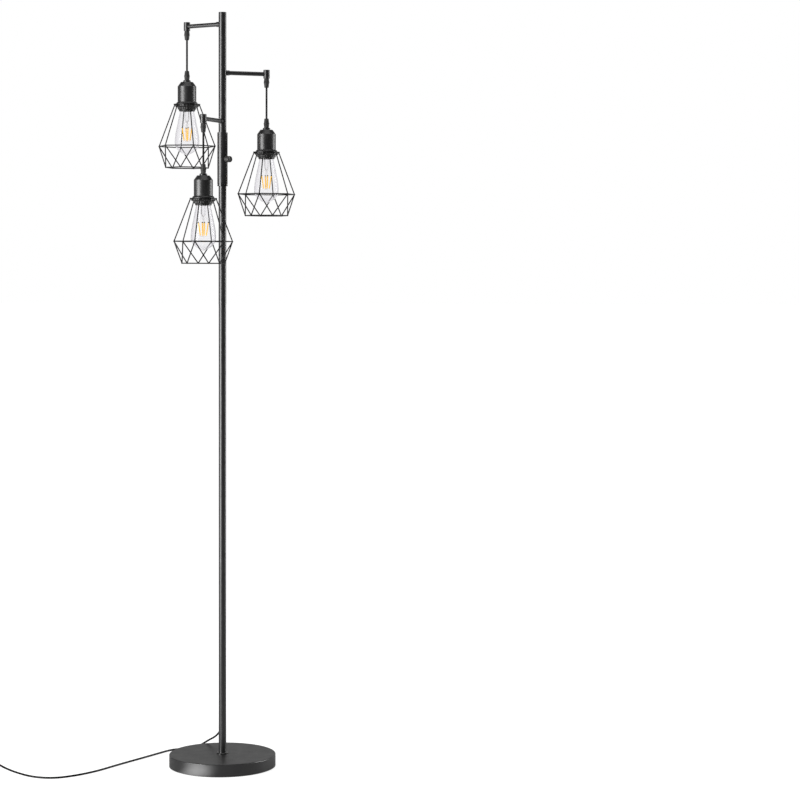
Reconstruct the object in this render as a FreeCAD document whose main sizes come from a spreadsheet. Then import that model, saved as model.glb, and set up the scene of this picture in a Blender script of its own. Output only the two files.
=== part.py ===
"""Floor lamp with three wire cages that hang from a steel pole.

Millimetres, +Z up. The origin is the centre of the base's underside, on the pole's axis.
+Y points away from someone who stands in front of the lamp, +X to their right.
Azimuths are counted from +X towards +Y. A "drop" is counted downwards from an arm's axis.
"""
import FreeCAD, Part
import math
import os

doc = FreeCAD.newDocument("cage_lamp")
sheet = doc.addObject("Spreadsheet::Sheet", "sizes")

DRIVING_SIZES = [
    # base
    ("base_dia", 250.0),
    ("base_top", 30.0),
    ("base_edge_radius", 2.0),
    ("cover_wall", 1.2),
    ("cover_rim_gap", 1.5),
    ("pad_thick", 2.0),
    ("pad_inset", 4.0),
    ("recess_margin", 4.0),
    ("recess_depth", 12.0),
    ("stud_dia", 10.0),
    ("stud_plug_length", 25.0),
    ("washer_dia", 30.0),
    ("washer_thick", 2.0),
    ("nut_flats", 17.0),
    ("nut_thick", 6.0),
    ("stud_end_room", 1.0),
    ("flange_reach", 5.0),
    ("flange_thick", 2.5),
    # fits inside one rigid group
    ("fit", 0.05),
    ("loose_fit", 0.1),
    # pole
    ("pole_dia", 18.0),
    ("pole_wall", 1.0),
    ("lamp_top", 1766.0),
    ("coupler_length", 40.0),
    ("coupler_wall", 2.0),
    ("cap_thick", 1.5),
    ("cap_plug_length", 8.0),
    # switch sleeve and knob
    ("switch_below", 340.5),
    ("switch_room_below", 30.5),
    ("switch_room_above", 29.5),
    ("sleeve_over", 3.0),
    ("sleeve_wall", 1.5),
    ("sleeve_below_switch", 62.2),
    ("sleeve_above_switch", 62.3),
    ("end_ring_tall", 3.3),
    ("groove_tall", 0.8),
    ("switch_turn", -45.0),
    ("switch_width", 14.0),
    ("switch_depth", 15.0),
    ("switch_tall", 30.0),
    ("switch_neck_dia", 8.0),
    ("switch_nut_flats", 9.4),
    ("switch_nut_thick", 2.1),
    ("knob_dia", 14.6),
    ("knob_reach", 14.0),
    ("knob_edge", 0.9),
    ("knob_gap", 0.35),
    ("knob_pocket_wall", 0.7),
    ("knob_pocket_depth", 3.7),
    ("shaft_dia", 3.4),
    ("shaft_length", 10.0),
    ("shaft_fit", 0.05),
    ("shaft_end_room", 0.5),
    ("switch_neck_proud", 1.0),
    # arms
    ("arm_1_below", 27.6),
    ("arm_pitch", 112.3),
    ("arm_1_turn", 141.0),
    ("arm_2_turn", 16.0),
    ("arm_3_turn", 246.0),
    ("arm_reach", 107.0),
    ("arm_dia", 9.7),
    ("arm_wall", 1.0),
    ("arm_seat_depth", 0.6),
    ("collar_wall", 1.15),
    ("collar_length", 7.4),
    ("tee_room", 0.5),
    ("tee_tall", 20.0),
    ("tee_wall", 2.0),
    ("tee_edge", 0.6),
    ("arm_lead_dia", 3.0),
    ("arm_lead_offset", 4.0),
    ("arm_lead_bend", 5.0),
    ("lead_gap", 1.5),
    # cord grips and the short cords between them
    ("grip_length", 21.5),
    ("grip_foot_dia", 10.9),
    ("grip_foot_length", 8.3),
    ("grip_ridge_dia", 13.5),
    ("grip_ridge_length", 3.0),
    ("grip_shoulder_dia", 12.1),
    ("grip_tip_dia", 9.3),
    ("grip_mouth_dia", 8.2),
    ("grip_mouth_depth", 3.5),
    ("grip_throat", 0.6),
    ("grip_soft_edge", 0.3),
    ("grip_tip_round", 0.8),
    ("cord_dia", 4.6),
    ("cord_inset", 2.0),
    ("cord_bare_length", 72.0),
    ("grip_stud_length", 21.0),
    ("upper_stud_length", 4.6),
    # socket
    ("neck_ring_dia", 17.7),
    ("neck_ring_tall", 4.7),
    ("neck_ring_edge", 1.4),
    ("cap_shoulder", 7.45),
    ("socket_cap_room", 2.0),
    ("socket_cap_chamfer", 10.2),
    ("socket_cap_tall", 51.2),
    ("socket_cap_wall", 1.0),
    ("cap_lip_reach", 3.55),
    ("socket_cap_flare", 4.7),
    ("socket_dia", 37.7),
    ("socket_boss_wall", 4.0),
    ("socket_boss_tall", 10.0),
    ("socket_floor", 17.0),
    ("socket_wall", 1.65),
    ("socket_base_room", 0.4),
    ("socket_wire_hole", 6.0),
    ("socket_lead_room", 0.5),
    ("socket_cap_headroom", 2.0),
    ("socket_mouth_depth", 10.0),
    ("socket_proud", 15.2),
    ("ring_flange_reach", 6.5),
    ("ring_flange_thick", 5.8),
    ("ring_flange_edge", 1.2),
    ("ring_flange_taper", 1.5),
    ("ring_hub_wall", 3.15),
    ("ring_hub_taper", 0.8),
    ("ring_hub_tall", 5.5),
    # bulb
    ("bulb_base_dia", 26.0),
    ("bulb_base_tall", 26.5),
    ("bulb_base_crimp", 1.5),
    ("bulb_base_wall", 0.3),
    ("bulb_base_inset", 0.6),
    ("glass_in_base", 0.35),
    ("bulb_dia", 58.2),
    ("bulb_wide_below", 74.3),
    ("bulb_neck_dia", 32.4),
    ("bulb_throat_tall", 1.6),
    ("bulb_neck_low", 7.15),
    ("bulb_neck_tall", 13.0),
    ("bulb_side_radius", 110.0),
    ("bulb_side_turn", 12.0),
    ("bulb_shoulder_radius", 24.0),
    ("bulb_shoulder_turn", 50.0),
    ("bulb_end_radius", 50.0),
    ("bulb_end_turn", 72.0),
    ("bulb_tip_dia", 5.0),
    ("bulb_tip_tall", 3.2),
    ("bulb_tip_root", 1.0),
    ("bulb_tip_round", 0.8),
    ("bulb_end_thicker", 0.6),
    ("glass_wall", 0.8),
    ("stem_dia", 12.4),
    ("stem_length", 36.0),
    ("stem_fit", 0.3),
    ("stem_taper", 8.0),
    ("flare_tall", 6.0),
    ("pinch_dia", 8.06),
    ("pinch_tall", 4.0),
    ("pinch_end", 7.0),
    ("rod_dia", 1.8),
    ("rod_proud", 1.0),
    ("filament_dia", 1.9),
    ("filament_top_radius", 11.6),
    ("filament_end_radius", 7.0),
    ("filament_top_below", 39.0),
    ("filament_end_below", 69.2),
    ("filament_turn", 13.0),
    ("filaments_start", 12.0),
    ("filament_wire_dia", 0.8),
    ("filament_wire_lap", 1.0),
    # cage
    ("cage_plate_margin", 2.85),
    ("cage_plate_thick", 1.5),
    ("cage_spoke_margin", 0.2),
    ("cage_belt_radius", 68.6),
    ("cage_belt_below", 99.0),
    ("cage_foot_radius", 51.0),
    ("cage_foot_below", 149.1),
    ("cage_wire_dia", 2.7),
    ("cage_1_turn", -16.5),
    ("cage_2_turn", 15.0),
    ("cage_3_turn", 14.0),
    # cord on the floor
    ("exit_height", 81.0),
    ("bushing_length", 22.0),
    ("bushing_wall", 1.7),
    ("bushing_tip_wall", 1.0),
    ("bushing_flange_reach", 1.5),
    ("bushing_flange_thick", 1.5),
    ("bushing_seat_gap", 0.3),
    ("bushing_root", 0.4),
    ("floor_gap", 0.1),
    ("coil_outer_radius", 31.2),
    ("coil_turn_gap", 0.5),
    ("plug_length", 34.0),
    ("plug_width", 25.0),
    ("plug_thick", 14.4),
    ("plug_corner", 5.0),
    ("plug_tail_length", 22.0),
    ("plug_tail_dia", 9.0),
    ("plug_tail_rim", 1.0),
    ("plug_tail_lap", 2.0),
    ("blade_length", 17.0),
    ("blade_root", 7.5),
    ("blade_slot_depth", 8.0),
    ("blade_width", 6.3),
    ("blade_thick", 1.5),
    ("blade_spacing", 12.7),
]

# Sizes that follow from others, because the pieces fit together or are measured down from the top.
TIED_SIZES = {
    "recess_dia": "(washer_dia + 2 * recess_margin)",
    "flange_dia": "(pole_dia + 2 * flange_reach)",
    "arm_1_height": "(lamp_top - arm_1_below)",
    "switch_height": "(lamp_top - switch_below)",
    "lower_pole_top": "(switch_height - switch_room_below)",
    "upper_pole_bottom": "(switch_height + switch_room_above)",
    "sleeve_dia": "(pole_dia + 2 * sleeve_over)",
    "sleeve_bottom": "(switch_height - sleeve_below_switch)",
    "sleeve_top": "(switch_height + sleeve_above_switch)",
    "knob_pocket_dia": "(knob_dia - 2 * knob_pocket_wall)",
    "collar_dia": "(arm_dia + 2 * collar_wall)",
    "tee_dia": "(stud_dia + 2 * tee_room + 2 * tee_wall)",
    "socket_boss_dia": "(stud_dia + 2 * socket_boss_wall)",
    "socket_mouth_dia": "(socket_dia - 2 * socket_wall)",
    "socket_cap_dia": "(socket_dia + 2 * socket_cap_room + 2 * socket_cap_wall)",
    "cap_top_dia": "(socket_cap_dia - 2 * cap_shoulder)",
    "socket_cap_lip_dia": "(socket_cap_dia + 2 * cap_lip_reach)",
    "ring_hub_dia": "(socket_dia + 2 * ring_hub_wall)",
    "ring_flange_dia": "(ring_hub_dia + 2 * ring_flange_reach)",
    "cage_plate_dia": "(ring_flange_dia + 2 * cage_plate_margin)",
    "cage_spoke_radius": "(cage_plate_dia / 2 - cage_wire_dia / 2 - cage_spoke_margin)",
    "glass_neck": "(bulb_base_dia / 2 - glass_in_base)",
    "bushing_dia": "(cord_dia + 2 * bushing_wall)",
    "bushing_tip_dia": "(cord_dia + 2 * bushing_tip_wall)",
    "bushing_flange_dia": "(bushing_dia + 2 * bushing_flange_reach)",
}

# The cord's route from the pole's back to its coil: over the base's rear edge and down to the floor,
# round behind the base, and across the floor to the left. Floor points have the cord's own height.
AIR_ROUTE = [
    (0.0, 48.0, 81.0),
    (-15.0, 82.0, 57.5),
    (-34.0, 121.0, 38.0),
    (-55.0, 156.0, 17.0),
]
FLOOR_ROUTE = [
    (-75.0, 179.0),
    (-98.0, 187.0),
    (-124.0, 177.0),
    (-151.0, 142.0),
    (-182.0, 100.0),
    (-218.0, 53.0),
    (-254.0, 5.0),
    (-289.0, -45.0),
    (-334.0, -90.0),
    (-386.0, -118.5),
    (-436.0, -101.0),
    (-476.0, -54.0),
    (-507.0, -4.0),
    (-530.0, 46.0),
]
COIL_HALF_TURNS = 11

for row, (alias, size) in enumerate(DRIVING_SIZES, start=1):
    cell = f"A{row}"
    sheet.set(cell, str(size))
    sheet.setAlias(cell, alias)
doc.recompute()

SIZE_NAMES = {alias for alias, size in DRIVING_SIZES}


def reference(word):
    if word in TIED_SIZES:
        return bound(TIED_SIZES[word])
    return "sizes." + word if word in SIZE_NAMES else word


def bound(formula):
    """The formula with each named size written as a reference to the sheet."""
    words = []
    word = ""
    for letter in formula + " ":
        if letter.isalnum() or letter == "_":
            word += letter
            continue
        words.append(reference(word))
        words.append(letter)
        word = ""
    return "".join(words).strip()


def value(formula):
    """The number that a formula of named sizes gives."""
    result = sheet.evalExpression(bound(formula))
    return float(getattr(result, "Value", result))


def bind(thing, prop, formula):
    thing.setExpression(prop, bound(formula))


def upright(x, y, z):
    return f"placement(vector({x};{y};{z}); rotation(vector(0;0;1); 0))"


def hanging(x, y, z):
    """A frame whose own +Z points down, so that its heights are drops."""
    return f"placement(vector({x};{y};{z}); rotation(vector(1;0;0); 180))"


def radial(turn, z, x="0", y="0"):
    """A frame whose own +Z points outwards from the pole at an azimuth."""
    return f"placement(vector({x};{y};{z}); rotation(vector(-sin({turn});cos({turn});0); 90))"


def arc_centre(start, end, radius):
    """Centre of the arc from start to end. A positive radius bulges to the right of the way along."""
    middle = ((start[0] + end[0]) / 2, (start[1] + end[1]) / 2)
    chord = math.hypot(end[0] - start[0], end[1] - start[1])
    reach = math.sqrt(radius * radius - chord * chord / 4)
    side = 1 if radius > 0 else -1
    across = (-(end[1] - start[1]) / chord, (end[0] - start[0]) / chord)
    return (middle[0] + side * reach * across[0], middle[1] + side * reach * across[1])


def add_edge(sketch, start, end, radius):
    """A line, or the arc of a signed radius, and which of its ends is the start."""
    first = FreeCAD.Vector(start[0], start[1], 0)
    last = FreeCAD.Vector(end[0], end[1], 0)
    if radius is None:
        return sketch.addGeometry(Part.LineSegment(first, last)), 1, 2
    centre = arc_centre(start, end, radius)
    turns = [math.atan2(p[1] - centre[1], p[0] - centre[0]) for p in (start, end)]
    circle = Part.Circle(FreeCAD.Vector(centre[0], centre[1], 0), FreeCAD.Vector(0, 0, 1), abs(radius))
    if radius > 0:
        return sketch.addGeometry(Part.ArcOfCircle(circle, turns[0], turns[1])), 1, 2
    return sketch.addGeometry(Part.ArcOfCircle(circle, turns[1], turns[0])), 2, 1


def lathe(label, outline, place):
    """A turned piece. Each corner of the outline is (radius, height) in formulas of named sizes, and
    a third formula makes the edge that arrives there an arc of that signed radius."""
    import Sketcher
    body = doc.addObject("PartDesign::Body", label)
    sketch = body.newObject("Sketcher::SketchObject", label + "_outline")
    planes = [plane for plane in body.Origin.OriginFeatures if plane.Role == "XZ_Plane"]
    sketch.AttachmentSupport = [(planes[0], "")]
    sketch.MapMode = "FlatFace"
    corners = [(value(corner[0]), value(corner[1])) for corner in outline]
    edges = []
    for index, corner in enumerate(outline):
        radius = value(corner[2]) if len(corner) == 3 else None
        edges.append(add_edge(sketch, corners[index - 1], corners[index], radius))
    for index, (edge, start, end) in enumerate(edges):
        previous = edges[index - 1]
        sketch.addConstraint(Sketcher.Constraint("Coincident", previous[0], previous[2], edge, start))
    for index, (edge, start, end) in enumerate(edges):
        across, along = corners[index]
        if abs(across) < 1e-9:
            sketch.addConstraint(Sketcher.Constraint("PointOnObject", edge, end, -2))
        else:
            held = sketch.addConstraint(Sketcher.Constraint("DistanceX", -1, 1, edge, end, across))
            bind(sketch, f"Constraints[{held}]", outline[index][0])
        if abs(along) < 1e-9:
            sketch.addConstraint(Sketcher.Constraint("PointOnObject", edge, end, -1))
        else:
            held = sketch.addConstraint(Sketcher.Constraint("DistanceY", -1, 1, edge, end, along))
            bind(sketch, f"Constraints[{held}]", outline[index][1])
        if len(outline[index]) == 3:
            radius = abs(value(outline[index][2]))
            held = sketch.addConstraint(Sketcher.Constraint("Radius", edge, radius))
            bind(sketch, f"Constraints[{held}]", f"abs({outline[index][2]})")
    turned = body.newObject("PartDesign::Revolution", label + "_turned")
    turned.Profile = sketch
    turned.ReferenceAxis = (sketch, ["V_Axis"])
    turned.Angle = 360
    sketch.Visibility = False
    bind(body, "Placement", place)
    return body


def rod(label, radius, length, place):
    """A plain cylinder along its own +Z."""
    cylinder = doc.addObject("Part::Cylinder", label)
    bind(cylinder, "Radius", radius)
    bind(cylinder, "Height", length)
    bind(cylinder, "Placement", place)
    return cylinder


def block(label, length, width, height, place):
    box = doc.addObject("Part::Box", label)
    bind(box, "Length", length)
    bind(box, "Width", width)
    bind(box, "Height", height)
    bind(box, "Placement", place)
    return box


def hexagon(label, flats, height, place):
    prism = doc.addObject("Part::Prism", label)
    prism.Polygon = 6
    bind(prism, "Circumradius", f"({flats}) / sqrt(3)")
    bind(prism, "Height", height)
    bind(prism, "Placement", place)
    return prism


def cut(label, base, tool):
    result = doc.addObject("Part::Cut", label)
    result.Base = base
    result.Tool = tool
    return result


def fuse(label, base, tool):
    result = doc.addObject("Part::Fuse", label)
    result.Base = base
    result.Tool = tool
    return result


def group(label, members):
    """Identical pieces that share one node, each still a solid of its own."""
    result = doc.addObject("Part::Compound", label)
    result.Links = members
    return result


def ring_outline(inner, outer, low, high):
    return [(inner, low), (outer, low), (outer, high), (inner, high)]


# ---------------------------------------------------------------- base

def base_cover():
    outer = "base_dia / 2"
    bore = "stud_dia / 2 + loose_fit"
    inside = "base_dia / 2 - cover_wall"
    ceiling = "base_top - cover_wall"
    return lathe("base_cover", [
        (bore, ceiling),
        (inside, ceiling),
        (inside, "cover_rim_gap"),
        (outer, "cover_rim_gap"),
        (outer, "base_top - base_edge_radius"),
        ("base_dia / 2 - base_edge_radius", "base_top", "base_edge_radius"),
        (bore, "base_top"),
    ], upright("0", "0", "0"))


def base_weight():
    bore = "stud_dia / 2 + loose_fit"
    rim = "base_dia / 2 - cover_wall - loose_fit"
    recess_top = "pad_thick + recess_depth"
    ceiling = "base_top - cover_wall - fit"
    return lathe("base_weight", [
        (bore, recess_top),
        ("recess_dia / 2", recess_top),
        ("recess_dia / 2", "pad_thick"),
        (rim, "pad_thick"),
        (rim, ceiling),
        (bore, ceiling),
    ], upright("0", "0", "0"))


def base_pad():
    rim = "base_dia / 2 - pad_inset"
    return lathe("base_pad", [("0", "0"), (rim, "0"), (rim, "pad_thick"), ("0", "pad_thick")],
                 upright("0", "0", "0"))


def foot_flange():
    edge = "flange_thick / 3"
    bore = "stud_dia / 2 + loose_fit"
    return lathe("foot_flange", [
        (bore, "base_top"),
        ("flange_dia / 2", "base_top"),
        ("flange_dia / 2", f"base_top + flange_thick - {edge}"),
        (f"flange_dia / 2 - {edge}", "base_top + flange_thick"),
        (bore, "base_top + flange_thick"),
    ], upright("0", "0", "0"))


def base_stud():
    foot = "pad_thick + recess_depth - washer_thick - nut_thick - stud_end_room"
    step = "base_top + flange_thick"
    plug = "pole_dia / 2 - pole_wall - fit"
    return lathe("base_stud", [
        ("0", foot),
        ("stud_dia / 2", foot),
        ("stud_dia / 2", step),
        (plug, step),
        (plug, f"{step} + stud_plug_length"),
        ("0", f"{step} + stud_plug_length"),
    ], upright("0", "0", "0"))


def base_fasteners():
    bore = "stud_dia / 2 + fit"
    washer_low = "pad_thick + recess_depth - washer_thick"
    washer = lathe("base_washer", ring_outline(bore, "washer_dia / 2", washer_low, "pad_thick + recess_depth"),
                   upright("0", "0", "0"))
    nut_low = f"{washer_low} - nut_thick"
    blank = hexagon("base_nut_blank", "nut_flats", "nut_thick", upright("0", "0", nut_low))
    thread = rod("base_nut_thread", bore, "nut_thick", upright("0", "0", nut_low))
    return group("base_fasteners", [washer, cut("base_nut", blank, thread)])


# ---------------------------------------------------------------- pole

POLE_SECTIONS = 3
POLE_FOOT = "base_top + flange_thick"


def section_end(count):
    return f"{POLE_FOOT} + (lower_pole_top - ({POLE_FOOT})) * {count} / {POLE_SECTIONS}"


def tube(label, low, high):
    return lathe(label, ring_outline("pole_dia / 2 - pole_wall", "pole_dia / 2", low, high),
                 upright("0", "0", "0"))


def lower_pole_1():
    whole = tube("lower_pole_1_tube", POLE_FOOT, section_end(1))
    hole = rod("cord_exit_hole", "bushing_dia / 2 + fit", "pole_dia", radial("90", "exit_height"))
    return cut("lower_pole_1", whole, hole)


def pole_couplers():
    outer = "pole_dia / 2 - pole_wall - fit"
    joiners = []
    for seam in range(1, POLE_SECTIONS):
        middle = section_end(seam)
        joiners.append(lathe(f"pole_coupler_{seam}", ring_outline(
            "pole_dia / 2 - pole_wall - coupler_wall", outer,
            f"{middle} - coupler_length / 2", f"{middle} + coupler_length / 2"), upright("0", "0", "0")))
    return group("pole_couplers", joiners)


def arm_height(number):
    return f"arm_1_height - arm_pitch * {number - 1}"


def arm_turn(number):
    return f"arm_{number}_turn"


def upper_pole():
    drilled = tube("upper_pole_tube", "upper_pole_bottom", "lamp_top - cap_thick")
    for number in (1, 2, 3):
        hole = rod(f"arm_hole_{number}", "arm_dia / 2 + fit", "pole_dia",
                   radial(arm_turn(number), arm_height(number)))
        drilled = cut("upper_pole" if number == 3 else f"upper_pole_drilled_{number}", drilled, hole)
    return drilled


def pole_cap():
    plug = "pole_dia / 2 - pole_wall - fit"
    edge = "cap_thick / 3"
    seat = "lamp_top - cap_thick"
    return lathe("pole_cap", [
        ("0", f"{seat} - cap_plug_length"),
        (plug, f"{seat} - cap_plug_length"),
        (plug, seat),
        ("pole_dia / 2", seat),
        ("pole_dia / 2", f"lamp_top - {edge}"),
        (f"pole_dia / 2 - {edge}", "lamp_top"),
        ("0", "lamp_top"),
    ], upright("0", "0", "0"))


# ---------------------------------------------------------------- switch

def switch_sleeve():
    """The tube that joins the two poles, with a wide chamber for the switch between them."""
    outer = "sleeve_dia / 2"
    chamber = "sleeve_dia / 2 - sleeve_wall"
    low = "sleeve_bottom + end_ring_tall + groove_tall"
    grip = "pole_dia / 2 + fit"
    shell = lathe("sleeve_shell", [
        (chamber, low),
        (outer, low),
        (outer, "sleeve_top"),
        (grip, "sleeve_top"),
        (grip, "upper_pole_bottom"),
        (chamber, "upper_pole_bottom"),
    ], upright("0", "0", "0"))
    hole = rod("switch_hole", "switch_neck_dia / 2 + fit", "sleeve_dia", radial("switch_turn", "switch_height"))
    return cut("switch_sleeve", shell, hole)


def sleeve_end_ring():
    grip = "pole_dia / 2 + fit"
    boss = "sleeve_dia / 2 - sleeve_wall - fit"
    step = "sleeve_bottom + end_ring_tall"
    return lathe("sleeve_end_ring", [
        (grip, "sleeve_bottom"),
        ("sleeve_dia / 2", "sleeve_bottom"),
        ("sleeve_dia / 2", step),
        (boss, step),
        (boss, "lower_pole_top"),
        (grip, "lower_pole_top"),
    ], upright("0", "0", "0"))


def switch_body():
    can = block("switch_can", "switch_depth", "switch_width", "switch_tall",
                "placement(vector(0;0;switch_height); rotation(vector(0;0;1); switch_turn)) * "
                "placement(vector(-switch_depth / 2; -switch_width / 2; -switch_tall / 2);"
                " rotation(vector(0;0;1); 0))")
    neck_end = "sleeve_dia / 2 + switch_nut_thick + switch_neck_proud"
    neck = rod("switch_neck", "switch_neck_dia / 2", neck_end, radial("switch_turn", "switch_height"))
    solid = fuse("switch_solid", can, neck)
    shaft_end = "sleeve_dia / 2 + knob_gap + knob_pocket_depth - shaft_length"
    start = f"placement(vector(0;0;{shaft_end} - shaft_end_room); rotation(vector(0;0;1); 0))"
    bore = rod("switch_bore", "shaft_dia / 2 + shaft_fit", "sleeve_dia",
               f"{radial('switch_turn', 'switch_height')} * {start}")
    return cut("switch_body", solid, bore)


def switch_nut():
    seat = f"{radial('switch_turn', 'switch_height')} * "\
           "placement(vector(0;0;sleeve_dia / 2 + fit); rotation(vector(0;0;1); 0))"
    blank = hexagon("switch_nut_blank", "switch_nut_flats", "switch_nut_thick", seat)
    thread = rod("switch_nut_thread", "switch_neck_dia / 2 + fit", "switch_nut_thick", seat)
    return cut("switch_nut", blank, thread)


def switch_knob():
    back = "sleeve_dia / 2 + knob_gap"
    floor = f"{back} + knob_pocket_depth"
    front = "sleeve_dia / 2 + knob_reach"
    return lathe("switch_knob", [
        ("0", f"{floor} - shaft_length"),
        ("shaft_dia / 2", f"{floor} - shaft_length"),
        ("shaft_dia / 2", floor),
        ("knob_pocket_dia / 2", floor),
        ("knob_pocket_dia / 2", back),
        ("knob_dia / 2", back),
        ("knob_dia / 2", f"{front} - knob_edge"),
        ("knob_dia / 2 - knob_edge", front, "knob_edge"),
        ("0", front),
    ], radial("switch_turn", "switch_height"))


# ---------------------------------------------------------------- arms

TUBE_START = "pole_dia / 2 - pole_wall + arm_seat_depth - arm_wall"
TUBE_END = "arm_reach - arm_dia / 2"


def tip_x(number):
    return f"arm_reach * cos({arm_turn(number)})"


def tip_y(number):
    return f"arm_reach * sin({arm_turn(number)})"


def arm_tube(number):
    outline = ring_outline("arm_dia / 2 - arm_wall", "arm_dia / 2", TUBE_START, TUBE_END)
    return lathe(f"arm_tube_{number}", outline, radial(arm_turn(number), arm_height(number)))


def arm_collar(number):
    outline = ring_outline("arm_dia / 2 + fit", "collar_dia / 2", "pole_dia / 2 - collar_dia / 4",
                           "pole_dia / 2 + collar_length")
    blank = lathe(f"collar_blank_{number}", outline, radial(arm_turn(number), arm_height(number)))
    seat = rod(f"collar_seat_{number}", "pole_dia / 2 + fit", "collar_dia * 2",
               upright("0", "0", f"{arm_height(number)} - collar_dia"))
    return cut(f"arm_collar_{number}", blank, seat)


def arm_tee(number):
    half = "tee_tall / 2"
    inside = "tee_dia / 2 - tee_wall"
    shell = lathe(f"tee_shell_{number}", [
        (inside, half),
        ("tee_dia / 2", half),
        ("tee_dia / 2", f"tee_edge - {half}"),
        ("tee_dia / 2 - tee_edge", f"-{half}"),
        ("0", f"-{half}"),
        ("0", f"tee_wall - {half}"),
        (inside, f"tee_wall - {half}"),
    ], hanging(tip_x(number), tip_y(number), arm_height(number)))
    hole = rod(f"tee_hole_{number}", "arm_dia / 2 + fit", "arm_reach",
               radial(arm_turn(number), arm_height(number)))
    return cut(f"arm_tee_{number}", shell, hole)


GRIP_BORE = "cord_dia / 2 + grip_throat"


def grip_outline(foot, direction, stud_length):
    """A cord grip from its foot, where the cord leaves towards the tip. The stud goes the other way."""
    def along(distance):
        return f"{foot} + ({direction}) * ({distance})"
    ridge = "grip_foot_length + grip_ridge_length"
    return [
        (GRIP_BORE, along(f"-({stud_length})")),
        ("stud_dia / 2", along(f"-({stud_length})")),
        ("stud_dia / 2", along("0")),
        ("grip_foot_dia / 2", along("0")),
        ("grip_ridge_dia / 2 - grip_soft_edge", along("grip_foot_length")),
        ("grip_ridge_dia / 2", along("grip_foot_length + grip_ridge_length / 2")),
        ("grip_ridge_dia / 2 - grip_soft_edge", along(ridge)),
        ("grip_shoulder_dia / 2", along(ridge)),
        ("grip_tip_dia / 2 + grip_tip_round / 2", along("grip_length - grip_tip_round")),
        ("grip_tip_dia / 2 - grip_tip_round / 8", along("grip_length")),
        ("grip_mouth_dia / 2", along("grip_length")),
        (GRIP_BORE, along("grip_length - grip_mouth_depth")),
    ]


def upper_grip(number):
    return lathe(f"upper_grip_{number}", grip_outline("tee_tall / 2", "1", "upper_stud_length"),
                 hanging(tip_x(number), tip_y(number), arm_height(number)))


# ---------------------------------------------------------------- pendants

UPPER_TIP = "tee_tall / 2 + grip_length"
LOWER_TIP = f"{UPPER_TIP} + cord_bare_length"
LOWER_FOOT = f"{LOWER_TIP} + grip_length"
CAP_TOP = f"{LOWER_FOOT} + neck_ring_tall"
CAP_LIP = f"{CAP_TOP} + socket_cap_tall"
PLATE_TOP = f"{CAP_LIP} + fit"
PLATE_LOW = f"{PLATE_TOP} + cage_plate_thick"
SOCKET_TOP = f"{CAP_TOP} + socket_cap_wall + socket_cap_headroom"
SOCKET_END = f"{PLATE_LOW} + socket_proud"
GLASS_START = f"{SOCKET_END} - socket_mouth_depth - bulb_base_crimp"


def pendant_place(number):
    return hanging(tip_x(number), tip_y(number), arm_height(number))


def pendant_cord(number):
    top = f"{UPPER_TIP} - cord_inset"
    low = f"{LOWER_TIP} + cord_inset"
    outline = [("0", top), ("cord_dia / 2", top), ("cord_dia / 2", low), ("0", low)]
    return lathe(f"pendant_cord_{number}", outline, pendant_place(number))


def lower_grip(number):
    return lathe(f"lower_grip_{number}", grip_outline(LOWER_FOOT, "-1", "grip_stud_length"),
                 pendant_place(number))


def neck_ring(number):
    outer = "neck_ring_dia / 2"
    return lathe(f"neck_ring_{number}", [
        ("stud_dia / 2 + fit", f"{CAP_TOP} - fit"),
        ("stud_dia / 2 + fit", f"{LOWER_FOOT} + fit"),
        (f"{outer} - neck_ring_edge", f"{LOWER_FOOT} + fit"),
        (outer, f"{LOWER_FOOT} + fit + neck_ring_edge"),
        (outer, f"{CAP_TOP} - fit"),
    ], pendant_place(number))


def socket_cap(number):
    outer = "socket_cap_dia / 2"
    wall = "socket_cap_wall"
    return lathe(f"socket_cap_{number}", [
        ("stud_dia / 2 + loose_fit", CAP_TOP),
        ("cap_top_dia / 2", CAP_TOP),
        (outer, f"{CAP_TOP} + socket_cap_chamfer"),
        (outer, f"{CAP_LIP} - socket_cap_flare"),
        ("socket_cap_lip_dia / 2", CAP_LIP, "socket_cap_flare * 1.05"),
        (f"socket_cap_lip_dia / 2 - {wall} * 1.6", CAP_LIP),
        (f"{outer} - {wall}", f"{CAP_LIP} - socket_cap_flare + {wall} / 2"),
        (f"{outer} - {wall}", f"{CAP_TOP} + socket_cap_chamfer + {wall} / 2"),
        (f"cap_top_dia / 2 - {wall} / 2", f"{CAP_TOP} + {wall}"),
        ("stud_dia / 2 + loose_fit", f"{CAP_TOP} + {wall}"),
    ], pendant_place(number))


def socket(number):
    """The lampholder: a boss that takes the grip's stud, a contact chamber and a wide mouth."""
    bore = "stud_dia / 2 + fit"
    boss = "socket_boss_dia / 2"
    outer = "socket_dia / 2"
    chamber = "bulb_base_dia / 2 + socket_base_room"
    mouth = "socket_mouth_dia / 2"
    shoulder = f"{SOCKET_TOP} + socket_boss_tall"
    floor = f"{shoulder} + socket_floor"
    return lathe(f"socket_{number}", [
        (bore, SOCKET_TOP),
        (boss, SOCKET_TOP),
        (boss, shoulder),
        (outer, shoulder),
        (outer, SOCKET_END),
        (mouth, SOCKET_END),
        (mouth, f"{SOCKET_END} - socket_mouth_depth"),
        (chamber, f"{SOCKET_END} - socket_mouth_depth"),
        (chamber, floor),
        ("socket_wire_hole / 2", floor),
        ("socket_wire_hole / 2", f"{LOWER_FOOT} + grip_stud_length + socket_lead_room"),
        (bore, f"{LOWER_FOOT} + grip_stud_length + socket_lead_room"),
    ], pendant_place(number))


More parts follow.
